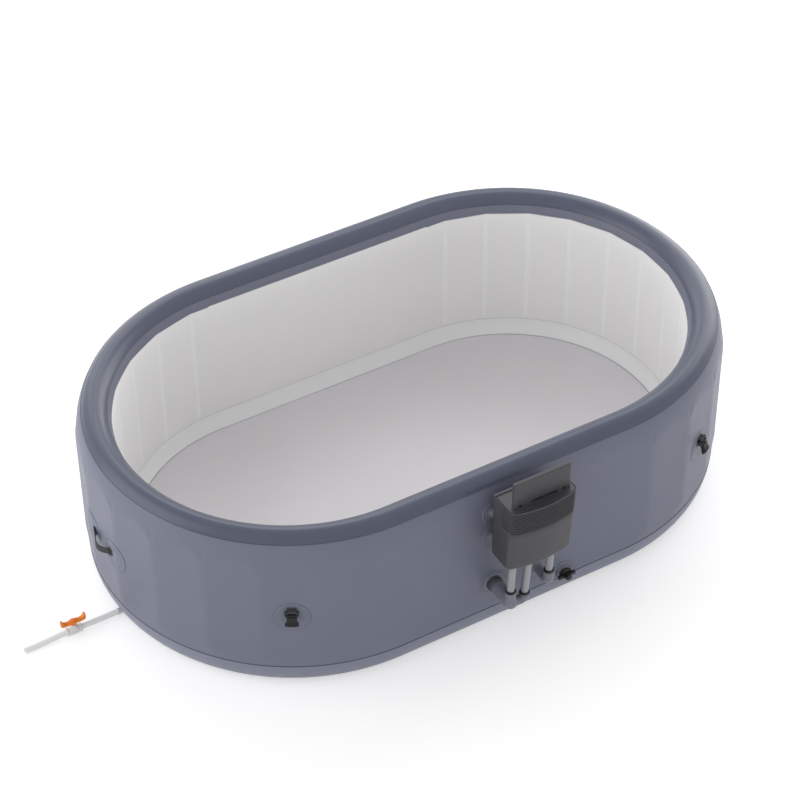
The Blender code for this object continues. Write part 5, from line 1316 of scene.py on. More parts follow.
@dataclass(frozen=True)
class TieWebs:
    """The pleated film inside each round end that ties the two wall skins together."""

    palette: Palette
    oval: Oval
    low: float = 0.14
    high: float = 0.578
    clear: float = 0.016
    waist: float = 0.02
    film: float = 0.0006
    rows: int = 7

    def build(self) -> None:
        """Build the two webs, whose top and bottom edges are cut in curves between the skins."""
        pitch, creases = self.oval.panel_deg, self.oval.creases
        for end, side in (("left", -1.0), ("right", 1.0)):
            path = []
            for k in range(creases):
                degrees = pitch * (k + 0.5) - 90.0
                steps = np.linspace(0.0, 1.0, 9) if k % 2 == 0 else np.linspace(1.0, 0.0, 9)
                path += [(degrees, share) for share in steps]
                if k < creases - 1:
                    path += [(degrees + part * pitch, steps[-1]) for part in (0.25, 0.5, 0.75)]
            points = []
            for degrees, share in path:
                angle = math.radians(degrees)
                away = Vector((side * math.cos(angle), math.sin(angle)))
                outer = Vector((side * self.oval.outer_half, 0.0)) + away * (self.oval.outer_radius - 0.004)
                inner = Vector((side * self.oval.inner_half, 0.0)) + away * self.oval.inner_radius
                depth = self.clear + (1 - 2 * self.clear) * share
                plan = outer.lerp(inner, depth)
                waist = self.waist * math.sin(math.pi * share)
                for z in np.linspace(self.low + waist, self.high - waist, self.rows):
                    points.append((plan.x, plan.y, z))
            web = mesh_from("web", points, grid_faces(len(path), self.rows), closed=False)
            finish_piece(f"tie_film_{end}", thickened(web, self.film, 0.0), self.palette.liner, Slot.LINER,
                         f"tie_web_{end}")


@dataclass(frozen=True)
class WeldBands:
    """The welded bands down the pool wall, where the tie webs are sealed on."""

    palette: Palette
    oval: Oval
    width: float = 0.02
    lift: float = 0.0014
    low: float = 0.124
    high: float = 0.612

    def band(self, start: float) -> Mesh:
        """Make the first band, standing round the Z axis at an angle.

        Args:
            start: the angle in degrees.

        Returns:
            A closed strip.
        """
        oval = self.oval
        rings = []
        heights = np.linspace(self.low, self.high, 25)
        for k, z in enumerate(heights):
            near_end = min(k, len(heights) - 1 - k)
            half = self.width / 2 * (1.0 if near_end > 0 else 0.8)
            swell = 0.0
            if z > oval.crown_base:
                rise = min(1.0, (z - oval.crown_base) / oval.crown_rise)
                depth = (1 + math.sqrt(1 - rise * rise)) / 2
                swell = (1 - depth) * (oval.outer_radius - oval.inner_radius)
            ring = []
            for share, lift in ((-1, -0.0006), (-1, 0.6 * self.lift), (-0.7, self.lift), (0.7, self.lift),
                                (1, 0.6 * self.lift), (1, -0.0006)):
                reach = oval.inner_radius + swell - lift
                angle = math.radians(start) + share * half / reach
                ring.append((reach * math.cos(angle), reach * math.sin(angle), z))
            rings.append(ring)
        return loft("band", rings)

    def build(self) -> None:
        """Repeat the band round both ends of the pool."""
        pitch = self.oval.panel_deg
        for end, side, start in (("right", 1.0, pitch / 2 - 90.0), ("left", -1.0, pitch / 2 + 90.0)):
            centre = Matrix.Translation((side * self.oval.inner_half, 0.0, 0.0))
            bands = repeated(f"weld_bands_{end}", self.band(start), self.oval.creases, self.palette.weld,
                             centre, math.radians(pitch))
            finish_piece(f"pool_weld_bands_{end}", bands, self.palette.weld, Slot.LINER)


# Fittings on the front wall


@dataclass(frozen=True)
class Fittings:
    """Every fitting on the front wall: unions, flanges, elbows, hoses, clamps and the air valve."""

    palette: Palette
    oval: Oval
    face: float = 0.7875
    pool_face: float = 0.64
    inlet: Row = (-0.104, 0.233)
    outlet: Row = (0.085, 0.207)
    union_x: float = -0.108
    union_heights: tuple[tuple[str, float], ...] = (("upper", 0.58), ("lower", 0.462))
    air_valve: Row = (0.198, 0.131)
    nut_y: float = -0.8041
    branch_z: float = 0.2245
    left_mouth: Place = (-0.104, -0.905, 0.285)
    mid_mouth: Place = (-0.045, -0.905, 0.252)
    return_mouth: Place = (0.085, -0.862, 0.258)
    hose_tops: tuple[Place, ...] = (
        (-0.095, -0.9, 0.4297), (-0.033, -0.905, 0.4297), (0.088, -0.865, 0.4297))
    hose: float = 0.014
    hose_bore: float = 0.0118
    collar_bore: float = 0.0142

    def on_front(self, x: float, z: float) -> Spot:
        """Return the function that places things on the front wall round a middle.

        Args:
            x: the middle's place along the wall.
            z: its height.

        Returns:
            A function of an offset along the wall, one upwards and a lift.
        """
        oval = self.oval

        def spot(along: float, up: float, lift: float) -> Vector:
            rise = max(0.0, (z + up - oval.crown_base) / oval.crown_rise)
            depth = (1 - math.sqrt(1 - rise * rise)) / 2 * (self.face - self.pool_face)
            return Vector((x + along, depth - self.face - lift, z + up))

        return spot

    def outward(self, place: Row) -> Matrix:
        """Return the frame at a place on the front wall whose Z points out of the tub."""
        return facing(OUTWARD, (place[0], -self.face, place[1]))

    def add_patch(self, name: str, patch: Patch, place: Row, hole: float) -> None:
        """Weld a patch with a hole to the front wall."""
        WallDressing(self.palette, self.oval).add_patch(name, patch, self.on_front(*place), "", hole)

    def add_slate(self, name: str, mesh: Mesh, node: str) -> None:
        """Add a piece of slate plastic that stands for a node."""
        finish_piece(name, mesh, self.palette.slate_plastic, Slot.FITTING, node)

    def build(self) -> None:
        """Build every fitting."""
        profile = mm([(25.4, -0.3), (26, 0.6), (26, 4), (24.8, 5.3), (19.6, 6), (18.4, 7.4), (16.6, 8.8),
                      (16, 11), (16, 47.4), (12.5, 47.4), (12.5, -0.3)])
        for label, z in self.union_heights:
            place = (self.union_x, z)
            self.add_patch(f"union_weld_{label}", Patch(0.048), place, 0.014)
            mesh = lathe(profile, self.outward(place))
            self.add_slate(f"union_tube_{label}", mesh, f"air_union_{label}")
        self.build_flange("inlet", self.inlet, 0.0235, 0.0195, 0.034)
        self.build_flange("return", self.outlet, 0.018, 0.0145, 0.029)
        self.build_union_nut()
        self.build_elbows()
        self.build_hoses()
        self.build_air_valve()
        self.build_pool_fittings()

    def build_flange(self, label: str, place: Row, pipe: float, bore: float, out: float) -> None:
        """Build a wall flange with its welded patch.

        Args:
            label: what it is for.
            place: its x and z.
            pipe: its pipe's outside radius.
            bore: its bore's radius.
            out: how far the pipe reaches from the wall.
        """
        self.add_patch(f"flange_weld_{label}", Patch(0.05, (0.92,)), place, 0.0225)
        profile = mm([(40, 0.3), (40, 2.8), (38.6, 4)])
        profile += [(pipe + away, z) for away, z in mm([(9, 4.3), (8, 5.2), (4, 5.4), (1.2, 6.2), (0, 8)])]
        profile += [(pipe, out), (bore, out), (bore, 0.0003)]
        self.add_slate(f"flange_{label}", lathe(profile, self.outward(place)), f"wall_flange_{label}")

    def build_union_nut(self) -> None:
        """Build the union nut, with grip ribs round it."""
        frame = facing(OUTWARD, (self.inlet[0], self.nut_y, self.inlet[1]))
        profile = mm([(23.9, -11.9), (28.4, -11.9), (29.6, -10.7), (29.6, 9.3), (28, 11.1), (26.6, 11.9),
                      (23.9, 11.9)])
        ring = lathe(profile, frame, 64)
        rib = tube([Vector((0.0292, 0.0, z)) for z in (-0.0104, 0.0076)], [0.0016] * 2, 8)
        grips = repeated("grip_ribs", rib, 24, self.palette.nut, frame)
        finish_piece("union_ring", joined("nut", [ring, grips]), self.palette.nut, Slot.FITTING, "union_nut",
                     "union_nut")

    def collar(self, top: Vector, radius: float, pipe: float, height: float = 0.014) -> Mesh:
        """Make the upturned collar that a hose stands in.

        Args:
            top: the middle of its mouth.
            radius: its outside radius.
            pipe: the radius of the pipe under it.
            height: its height.

        Returns:
            The mesh.
        """
        foot, lip, bore = -height - 0.003, radius - 0.0008, self.collar_bore
        profile = [(pipe - 0.001, foot), (pipe + 0.0006, foot + 0.002), (radius, 0.0014 - height),
                   (radius, -0.0036), (lip, -0.003), (lip, -0.001), (lip - 0.0008, 0.0),
                   (bore + 0.0006, 0.0), (bore, -0.0006), (bore, foot)]
        return lathe(profile, Matrix.Translation(top), 48)

    def build_elbows(self) -> None:
        """Build the tee with its branch, the middle elbow and the return elbow."""
        x, z = self.inlet
        body = mm([(-822.2, 26.2), (-823.6, 27.5), (-830, 27.5), (-905, 27.5), (-910.5, 27), (-918, 24.3),
                   (-924, 19.8), (-928, 13), (-929.75, 4)])
        parts = [tube([Vector((x, y, z)) for y, _ in body], [radius for _, radius in body], 48)]
        mouth = Vector(self.left_mouth)
        parts.append(tube([mouth - UP * low for low in (0.048, 0.015, 0.0138)], [0.0203, 0.0203, 0.02], 40))
        parts.append(self.collar(mouth, 0.022, 0.02))
        branch = [Vector((end, mouth.y, self.branch_z)) for end in (x + 0.01, -0.0722, -0.0706, -0.0698)]
        parts.append(tube(branch, [0.0175, 0.0175, 0.017, 0.016], 40))
        ring = mm([(26.8, -2), (28.3, -1), (28.3, 1), (26.8, 2)])
        parts += [lathe(ring, facing(OUTWARD, (x, y, z)), 48) for y in (-0.829, -0.888)]
        self.add_slate("tee_moulded", joined("tee", parts), "tee_elbow")
        start = (-0.0696, mouth.y, self.branch_z)
        self.build_bend("mid_bend", "elbow_mid", start, self.mid_mouth, 0.016, 0.0175, 0.021, 0.007)
        start = (self.outlet[0], -0.8168, self.outlet[1])
        self.build_bend("return_bend", "elbow_return", start, self.return_mouth, 0.022, 0.021, 0.0222, 0.014)

    def build_bend(self, name: str, node: str, start: Place, mouth: Place, bend: float, radius: float,
                   collar: float, height: float) -> None:
        """Build an elbow from a level pipe up to the collar on its mouth.

        Args:
            name: its name.
            node: the node that it stands for.
            start: where it begins.
            mouth: the middle of its mouth.
            bend: radius of its bend.
            radius: its outside radius.
            collar: its collar's radius.
            height: its collar's height.
        """
        top, corner = Vector(mouth), Vector((mouth[0], mouth[1], start[2]))
        path = elbow_path(Vector(start), corner, top - UP * height, bend, 12)
        parts = [tube(path, [radius - 0.0008] + [radius] * (len(path) - 2) + [radius - 0.0006], 40),
                 self.collar(top, collar, radius - 0.001, height)]
        away = (corner - path[0]).normalized()
        ring = [(radius + out, z) for out, z in mm([(-0.6, -2), (0.9, -1), (0.9, 1), (-0.6, 2)])]
        parts.append(lathe(ring, facing(away, path[0] + away * 0.0042), 48))
        self.add_slate(name, joined(name, parts), node)

    def build_hoses(self) -> None:
        """Build the three short hoses up into the pump unit, with their clamps."""
        mouths = (self.left_mouth, self.mid_mouth, self.return_mouth)
        for label, low, high in zip(("left", "mid", "right"), mouths, self.hose_tops):
            a, b = Vector(low) + UP * 0.0003, Vector(high)
            foot, head = a + UP * 0.012, b - UP * 0.028
            path = smooth_path([a, foot, foot.lerp(head, 1 / 3), foot.lerp(head, 2 / 3), head, b], 24)
            mesh = tube(path, [self.hose] * len(path), 32, self.hose_bore)
            finish_piece(f"hose_run_{label}", mesh, self.palette.hose, Slot.HOSE, f"hose_{label}")
            finish_piece(f"clamp_band_{label}", self.clamp(a + UP * 0.004), self.palette.black, Slot.BLACK,
                         f"hose_clamp_{label}")

    def clamp(self, at: Vector) -> Mesh:
        """Make a worm-drive clamp: a band with rolled edges and a screw housing.

        Args:
            at: its middle.

        Returns:
            The mesh.
        """
        band = mm([(14.3, -3), (17, -3), (17.8, -2.2), (17.2, -1.4), (17.2, 1.4), (17.8, 2.2), (17, 3),
                   (14.3, 3)])
        turn = Matrix.Translation(at) @ Matrix.Rotation(math.radians(-130.0), 4, "Z")
        housing = block((0.016, -0.006, -0.0036), (0.0216, 0.006, 0.0036), 0.001, turn)
        screw = tube([turn @ Vector((0.019, y, 0.0)) for y in (-0.0098, -0.0092, -0.004)],
                     [0.0024, 0.003, 0.003], 12)
        return joined("clamp", [lathe(band, Matrix.Translation(at), 48), housing, screw])

    def build_air_valve(self) -> None:
        """Build the inflation valve's seat and its winged cap."""
        frame = self.outward(self.air_valve)
        self.add_patch("air_valve_weld", Patch(0.044, (0.9, 0.72)), self.air_valve, 0.02)
        seat = mm([(26.5, -0.3), (27, 0.8), (27, 3.6), (25.8, 4.8), (21.8, 5.4), (21, 6.6), (21, 13.2),
                   (20.2, 14), (16.5, 14), (16.5, -0.3)])
        self.add_slate("air_valve_seat", lathe(seat, frame), "air_valve_body")
        crown = mm([(0, 14.3), (23.6, 14.3), (25, 15.2), (25, 18.4), (23.8, 20), (15, 21.2), (13, 23),
                    (12.8, 40), (12, 44), (9.8, 45.8), (0, 46)])
        parts = [lathe(crown, frame, 48)]
        half = mm([(-36, -4.6), (-33, -8), (-16, -5.5), (-11, -4), (11, -4), (16, -5.5), (33, -8),
                   (36, -4.6)])
        wing = half + [(-x, -y) for x, y in half]
        parts.append(plate(wing, 0.01, frame @ Matrix.Translation((0.0, 0.0, 0.027)), 0.0014, 3))
        ridge = block((0.0236, -0.0016, 0.015), (0.0256, 0.0016, 0.0186), 0.0006, segments=2)
        parts.append(repeated("cap_ridges", ridge, 12, self.palette.black, frame))
        finish_piece("air_valve_winged_cap", joined("cap", parts), self.palette.black, Slot.BLACK,
                     "air_valve_cap", "air_cap")

    def build_pool_fittings(self) -> None:
        """Build the strainer cap and the return nozzle on the pool side."""
        palette = self.palette
        frame = facing(POOLWARD, (self.inlet[0], -self.pool_face, self.inlet[1]))
        cup = mm([(0, 36), (29, 36), (32.5, 35), (34, 32.6), (34, 5), (40, 4.4), (42, 3), (42, 0.4),
                  (0, 0.4)])
        parts = [lathe(cup, frame, 64)]
        ridge = block((0.0334, -0.002, 0.008), (0.0349, 0.002, 0.031), 0.0006, segments=2)
        parts.append(repeated("strainer_ridges", ridge, 18, palette.pale_plastic, frame))
        finish_piece("strainer_cap", joined("strainer", parts), palette.pale_plastic, Slot.WELD,
                     "inlet_strainer", "strainer")
        # Painted shade: thin dark discs on the cap stand for the shade in its holes
        hole = mm([(0, 36.1), (5, 36.1), (5, 36.4), (0, 36.4)])
        aside = lathe(hole, Matrix.Translation((0.019, 0.0, 0.0)), 24)
        dots = [repeated("strainer_holes", aside, 6, palette.bore, frame), lathe(hole, frame, 24)]
        finish_piece("strainer_holes", joined("holes", dots), palette.bore, Slot.WELD, body="strainer")
        frame = facing(POOLWARD, (self.outlet[0], -self.pool_face, self.outlet[1]))
        nozzle = mm([(36, 0.4), (36, 2.8), (34.5, 4.2), (28, 5), (26, 7), (25, 15), (22.5, 19), (19, 20),
                     (12, 20), (9, 18), (9, 0.4)])
        finish_piece("nozzle_eyeball", lathe(nozzle, frame, 64), palette.pale_plastic, Slot.WELD,
                     "return_nozzle")


# Pump and heater unit


@dataclass(frozen=True)
class PumpUnit:
    """The hanging pump and heater unit: two shells, a grille, a deck and a tilting control panel."""

    palette: Palette
    x: float = -0.008
    half: float = 0.133
    back: float = -0.835
    split: float = -0.847
    low: float = 0.43
    high: float = 0.716
    front_low: float = -0.935
    front_high: float = -0.957
    corner: float = 0.018
    bow: float = 0.02
    wall: float = 0.0028
    grille: Row = (0.606, 0.7075)
    grille_reach: float = 0.046
    plain_points: int = 3
    ribs: int = 11
    rib_radius: float = 0.0025
    lean: float = -0.0769
    deck_fall: float = 0.0022
    deck_fall_run: Row = (-0.915, 0.07)
    panel: tuple[Row, Row] = ((-0.122, -0.938), (0.106, -0.92))
    panel_top: float = 0.827
    panel_foot: float = 0.7265
    hinge: Row = (-0.925, 0.722)
    ears: Row = (0.0853, 0.0933)
    barrel: float = 0.085
    foot_radius: float = 0.0061
    window: Row = (0.045, 0.017)
    window_z: float = 0.799
    keys: tuple[tuple[str, float], ...] = (
        ("key_heat", -0.048), ("key_power", -0.008), ("key_bubbles", 0.032))
    key_z: float = 0.76
    temperature: str = "38"
    feet: tuple[Row, ...] = ((-0.1216, -0.1022), (-0.0924, -0.052), (0.052, 0.0764), (0.0862, 0.1056))

    def front_at(self, z: float) -> float:
        """Return the y of the front corners at a height."""
        return self.front_low + (self.front_high - self.front_low) * (z - self.low) / (self.high - self.low)

    def outline(self, z: float, rear: float, inset: float = 0.0) -> list[Vector]:
        """Return the case's outline at a height, from its rear left corner round its front.

        Args:
            z: the height.
            rear: y of its rear edge.
            inset: how far inside the case's own face it runs.

        Returns:
            Points, open at the rear.
        """
        front = self.front_at(z) + inset
        half, radius = self.half - inset, self.corner - inset
        flat = []
        for k in range(9):
            angle = math.pi / 2 * k / 8
            flat.append((-half + radius * (1 - math.cos(angle)), front + radius * (1 - math.sin(angle))))
        flat += [(x, front) for x in np.linspace(-half + radius, half - radius, 24)[1:-1]]
        flat += [(-x, y) for x, y in reversed(flat[:9])]
        end = front + self.corner + self.grille_reach - inset
        sides = (rear, (rear + end) / 2, end + 0.0006, end - 0.0006, (end + front + self.corner) / 2)
        flat = [(-half, y) for y in sides] + flat + [(half, y) for y in reversed(sides)]
        points = []
        for x, y in flat:
            share = (rear - y) / (rear - front)
            bow = self.bow * max(0.0, 1 - (x / self.half) ** 2) * share
            points.append(Vector((self.x + x, y - bow, z)))
        return points

    def build(self) -> None:
        """Build the unit."""
        self.build_case()
        self.build_deck()
        self.build_grille()
        self.build_panel()

    def build_case(self) -> None:
        """Build the rear pan and the front shell, whose lower edges are rounded."""
        low, high = self.low, self.high
        foot, top = self.grille
        levels = [(low + z, inset) for z, inset in mm([(0.4, 6.8), (1, 4.2), (2.8, 1.8), (5.8, 0.4), (9, 0)])]
        levels += [(z, 0.0) for z in np.linspace(low + 0.02, foot - 0.002, 8)]
        levels += [(foot - 0.001, 0.0006), (foot, 0.0022), (top, 0.0022), (top + 0.001, 0.0006)]
        levels += [(top + 0.0018, 0.0), (high - 0.0016, 0.0), (high - 0.0004, 0.0005), (high, 0.0014)]
        finish_piece("case_front_shell", self.front_shell(levels), self.palette.case, Slot.CASE,
                     "case_front")
        half = self.half
        side = [(half, low + 0.01), (half - 0.003, low + 0.003), (half - 0.01, low)]
        pan = [(self.x - x, z) for x, z in side] + [(self.x + x, z) for x, z in reversed(side)]
        pan += [(self.x + half, high), (self.x - half, high)]
        middle = Matrix.Translation((0.0, (self.back + self.split) / 2, 0.0))
        mesh = plate(pan, self.back - self.split, middle @ Matrix.Rotation(math.pi / 2, 4, "X"), 0.0016)
        finish_piece("case_rear_pan", mesh, self.palette.case, Slot.CASE, "case_rear")

    def front_shell(self, levels: Sequence[Row]) -> Mesh:
        """Make the front shell, whose grille recess starts part of the way along each side.

        Args:
            levels: (height, inset) of each outline.

        Returns:
            The mesh.
        """
        rear = self.split - 0.0005
        rows = []
        for z, inset in levels:
            row = self.outline(z, rear, inset)
            if self.grille[0] - 0.0015 <= z <= self.grille[1] + 0.0015:
                plain = self.outline(z, rear)
                skip = self.plain_points
                row = plain[:skip] + row[skip:-skip] + plain[-skip:]
            rows.append(row)
        count = len(rows[0])
        faces = grid_faces(len(rows), count) + [tuple(range(count))[::-1]]
        shell = mesh_from("shell", [point for row in rows for point in row], faces, closed=False)
        return thickened(shell, self.wall)

    def build_deck(self) -> None:
        """Build the deck between the rims, with the dark channel that the panel stands in."""
        rear = self.back - 0.0012
        rows = [self.outline(self.high - 0.003, rear, self.wall + 0.0004),
                self.outline(self.high - 0.001, rear, self.wall + 0.001)]
        start, run = self.deck_fall_run
        for point in [*rows[0], *rows[1]]:
            # The deck falls a little from the panel's channel to the wall
            point.z -= self.deck_fall * min(1.0, max(0.0, (point.y - start) / run))
        count = len(rows[0])
        caps = [tuple(range(count))[::-1], tuple(range(count, 2 * count))]
        mesh = mesh_from("deck", [*rows[0], *rows[1]], grid_faces(2, count, around=True) + caps)
        finish_piece("deck_plate", mesh, self.palette.case, Slot.CASE, "top_tray")
        low, high = self.panel
        channel = block((low[0] + 0.008, low[1] - 0.004, self.high - 0.0012),
                        (high[0] - 0.008, high[1] + 0.003, self.high + 0.0004), 0.0004)
        finish_piece("panel_channel", channel, self.palette.rib, Slot.CASE)
        hinge_y, hinge_z = self.hinge
        ears = []
        for way in (-1.0, 1.0):
            x0, x1 = sorted(self.x + way * reach for reach in self.ears)
            ears.append(block((x0, hinge_y - 0.004, self.high - 0.004), (x1, hinge_y + 0.004, hinge_z),
                              0.0006))
            ears.append(tube([Vector((x, hinge_y, hinge_z)) for x in (x0, x1)], [0.0041] * 2, 24))
        finish_piece("panel_hinge_ears", joined("ears", ears), self.palette.case, Slot.CASE)

    def build_grille(self) -> None:
        """Build the grille: thin ribs in a recess round the front, over a black sheet of painted shade."""
        low, high = self.grille
        pitch = (high - low) / self.ribs
        start = low + pitch / 2
        rear = self.split - 0.0005
        skip = self.plain_points
        line = self.outline(start, rear, 0.0012)[skip:-skip]
        pattern = Pattern("grille_ribs", {"Count": self.ribs, "Pitch": pitch, "Lean": self.lean * pitch,
                                          "Radius": self.rib_radius})
        sizes = pattern.start
        step = pattern.add("ShaderNodeCombineXYZ", inputs={"Y": sizes["Lean"], "Z": sizes["Pitch"]})
        places = pattern.add("GeometryNodeMeshLine", inputs={"Count": sizes["Count"], "Offset": step[0]})
        path = pattern.add("GeometryNodeMeshToCurve", inputs={"Mesh": sizes["Geometry"]})
        section = pattern.add("GeometryNodeCurvePrimitiveCircle",
                              inputs={"Resolution": 6, "Radius": sizes["Radius"]})
        rib = pattern.add("GeometryNodeCurveToMesh",
                          inputs={"Curve": path[0], "Profile Curve": section["Curve"], "Fill Caps": True})
        ribs = pattern.add("GeometryNodeInstanceOnPoints", inputs={"Points": places[0], "Instance": rib[0]})
        pattern.close(ribs[0], self.palette.rib)
        finish_piece("grille_rib_rows", pattern.bake(polyline(line)), self.palette.rib, Slot.CASE,
                     "vent_grille")
        # Painted shade: a black sheet behind the ribs stands for the shade inside the case between them
        back = [self.outline(z, rear, 0.002)[skip:-skip] for z in (low + 0.0006, high - 0.0006)]
        sheet = mesh_from("back", [*back[0], *back[1]], grid_faces(2, len(back[0])), closed=False)
        finish_piece("grille_backing", thickened(sheet, 0.0006), self.palette.black, Slot.CASE)

    def pocketed(self, slab: Mesh, cutters: list[Mesh]) -> Mesh:
        """Cut pockets in a mesh.

        Args:
            slab: the mesh.
            cutters: the pockets' shapes, which are removed.

        Returns:
            The mesh with its pockets.
        """
        item = new_object("slab", slab)
        tool = new_object("cutters", joined("cutters", cutters))
        cut = item.modifiers.new("Pockets", "BOOLEAN")
        cut.object = tool
        cut.solver = "EXACT"
        mesh = baked_mesh(item)
        shapes = tool.data
        bpy.data.objects.remove(tool, do_unlink=True)
        bpy.data.meshes.remove(shapes)
        return mesh

    def panel_feet(self) -> list[Mesh]:
        """Make the panel's feet, rounded about the hinge so that they clear the deck as it tilts."""
        (_, y0), (_, y1) = self.panel
        hinge_y, hinge_z = self.hinge
        radius = self.foot_radius
        profile = [(y0 + 0.0004, self.panel_foot + 0.004), (y0 + 0.0004, hinge_z - 0.0052),
                   (y0 + 0.0014, hinge_z - radius)]
        for k in range(7):
            angle = -math.pi / 2 * (1 - k / 6)
            profile.append((hinge_y + radius * math.cos(angle), hinge_z + radius * math.sin(angle)))
        profile.append((y1 - 0.0004, self.panel_foot + 0.004))
        along = upright(POOLWARD, UP, Vector((1.0, 0.0, 0.0)))
        feet = []
        for low, high in self.feet:
            at = Matrix.Translation(((low + high) / 2, 0.0, 0.0))
            feet.append(plate(profile, high - low, at @ along, 0.0006))
        return feet

    def window_block(self, gap: float, back: float, front: float, bevel: float) -> Mesh:
        """Make a block in the shape of the display's window.

        Args:
            gap: how much smaller it is all round.
            back: how far its back lies behind the panel's face.
            front: how far its front stands before the panel's face.
            bevel: width of its rounded edges.

        Returns:
            The mesh.
        """
        face = self.panel[1][1]
        wide, high = self.window[0] - gap, self.window[1] - gap
        return block((self.x - wide, face - back, self.window_z - high),
                     (self.x + wide, face + front, self.window_z + high), bevel)

    def build_panel(self) -> None:
        """Build the control panel with its feet, display window, keys and their rings."""
        (x0, y0), (x1, y1) = self.panel
        palette = self.palette
        hinge_y, hinge_z = self.hinge
        keys = {name: facing(POOLWARD, (x, y1, self.key_z)) for name, x in self.keys}
        well = mm([(0, -4.5), (7.9, -4.5), (7.9, 2), (0, 2)])
        cutters = [lathe(well, at, 40) for at in keys.values()]
        cutters.append(self.window_block(0.0, 0.0012, 0.002, 0.0004))
        slab = block((x0, y0, self.panel_foot), (x1, y1, self.panel_top), 0.0048, segments=5)
        barrel = [Vector((self.x + way * self.barrel, hinge_y, hinge_z)) for way in (-1, 1)]
        reach = self.barrel - 0.0005
        neck = block((self.x - reach, hinge_y - 0.0046, hinge_z),
                     (self.x + reach, hinge_y + 0.004, self.panel_foot + 0.004), 0.001)
        parts = [self.pocketed(slab, cutters), tube(barrel, [0.005] * 2), neck, *self.panel_feet()]
        finish_piece("panel_slab", joined("panel", parts), palette.case, Slot.CASE, "control_panel",
                     "control_panel")
        finish_piece("display_window", self.window_block(0.0004, 0.0011, -0.0004, 0.0002), palette.glass,
                     Slot.BLACK, body="control_panel")
        wide, high = (size + 0.0018 for size in self.window)
        edge = [Vector((self.x + a * wide, y1 + 0.0002, self.window_z + b * high))
                for a, b in ((-1, -1), (1, -1), (1, 1), (-1, 1))]
        line = [edge[i].lerp(edge[(i + 1) % 4], s) for i in range(4) for s in (0.04, 0.5, 0.96)]
        finish_piece("display_bezel", ring_bead(line, 0.001, 8), palette.rib, Slot.CASE,
                     body="control_panel")
        digits = bpy.data.curves.new("digits", "FONT")
        digits.body = self.temperature
        digits.size = 0.024
        digits.align_x = "CENTER"
        digits.align_y = "CENTER"
        digits.extrude = 0.0001
        mesh = baked_mesh(new_object("digits", digits))
        turn = upright(Vector((-1.0, 0.0, 0.0)), UP, POOLWARD)
        mesh.transform(Matrix.Translation((self.x, y1 - 0.0003, self.window_z)) @ turn)
        finish_piece("display_digits", mesh, palette.digit, Slot.BLACK, body="control_panel")
        cap = mm([(0, -3), (7.2, -3), (7.5, -2.4), (7.5, 0.6), (6.8, 1.3), (5.2, 1.5), (3.8, 1.2), (0, 1)])
        for name, frame in keys.items():
            finish_piece(f"{name}_cap", lathe(cap, frame, 40), palette.key, Slot.KEY, name, name)
        ring = mm([(8, -0.6), (9.5, -0.6), (9.5, 0.3), (8.8, 0.7), (8, 0.4)])
        rings = [lathe(ring, frame, 40) for frame in keys.values()]
        finish_piece("key_rings", joined("rings", rings), palette.rib, Slot.CASE, body="control_panel")


# Drain, with its free hoses


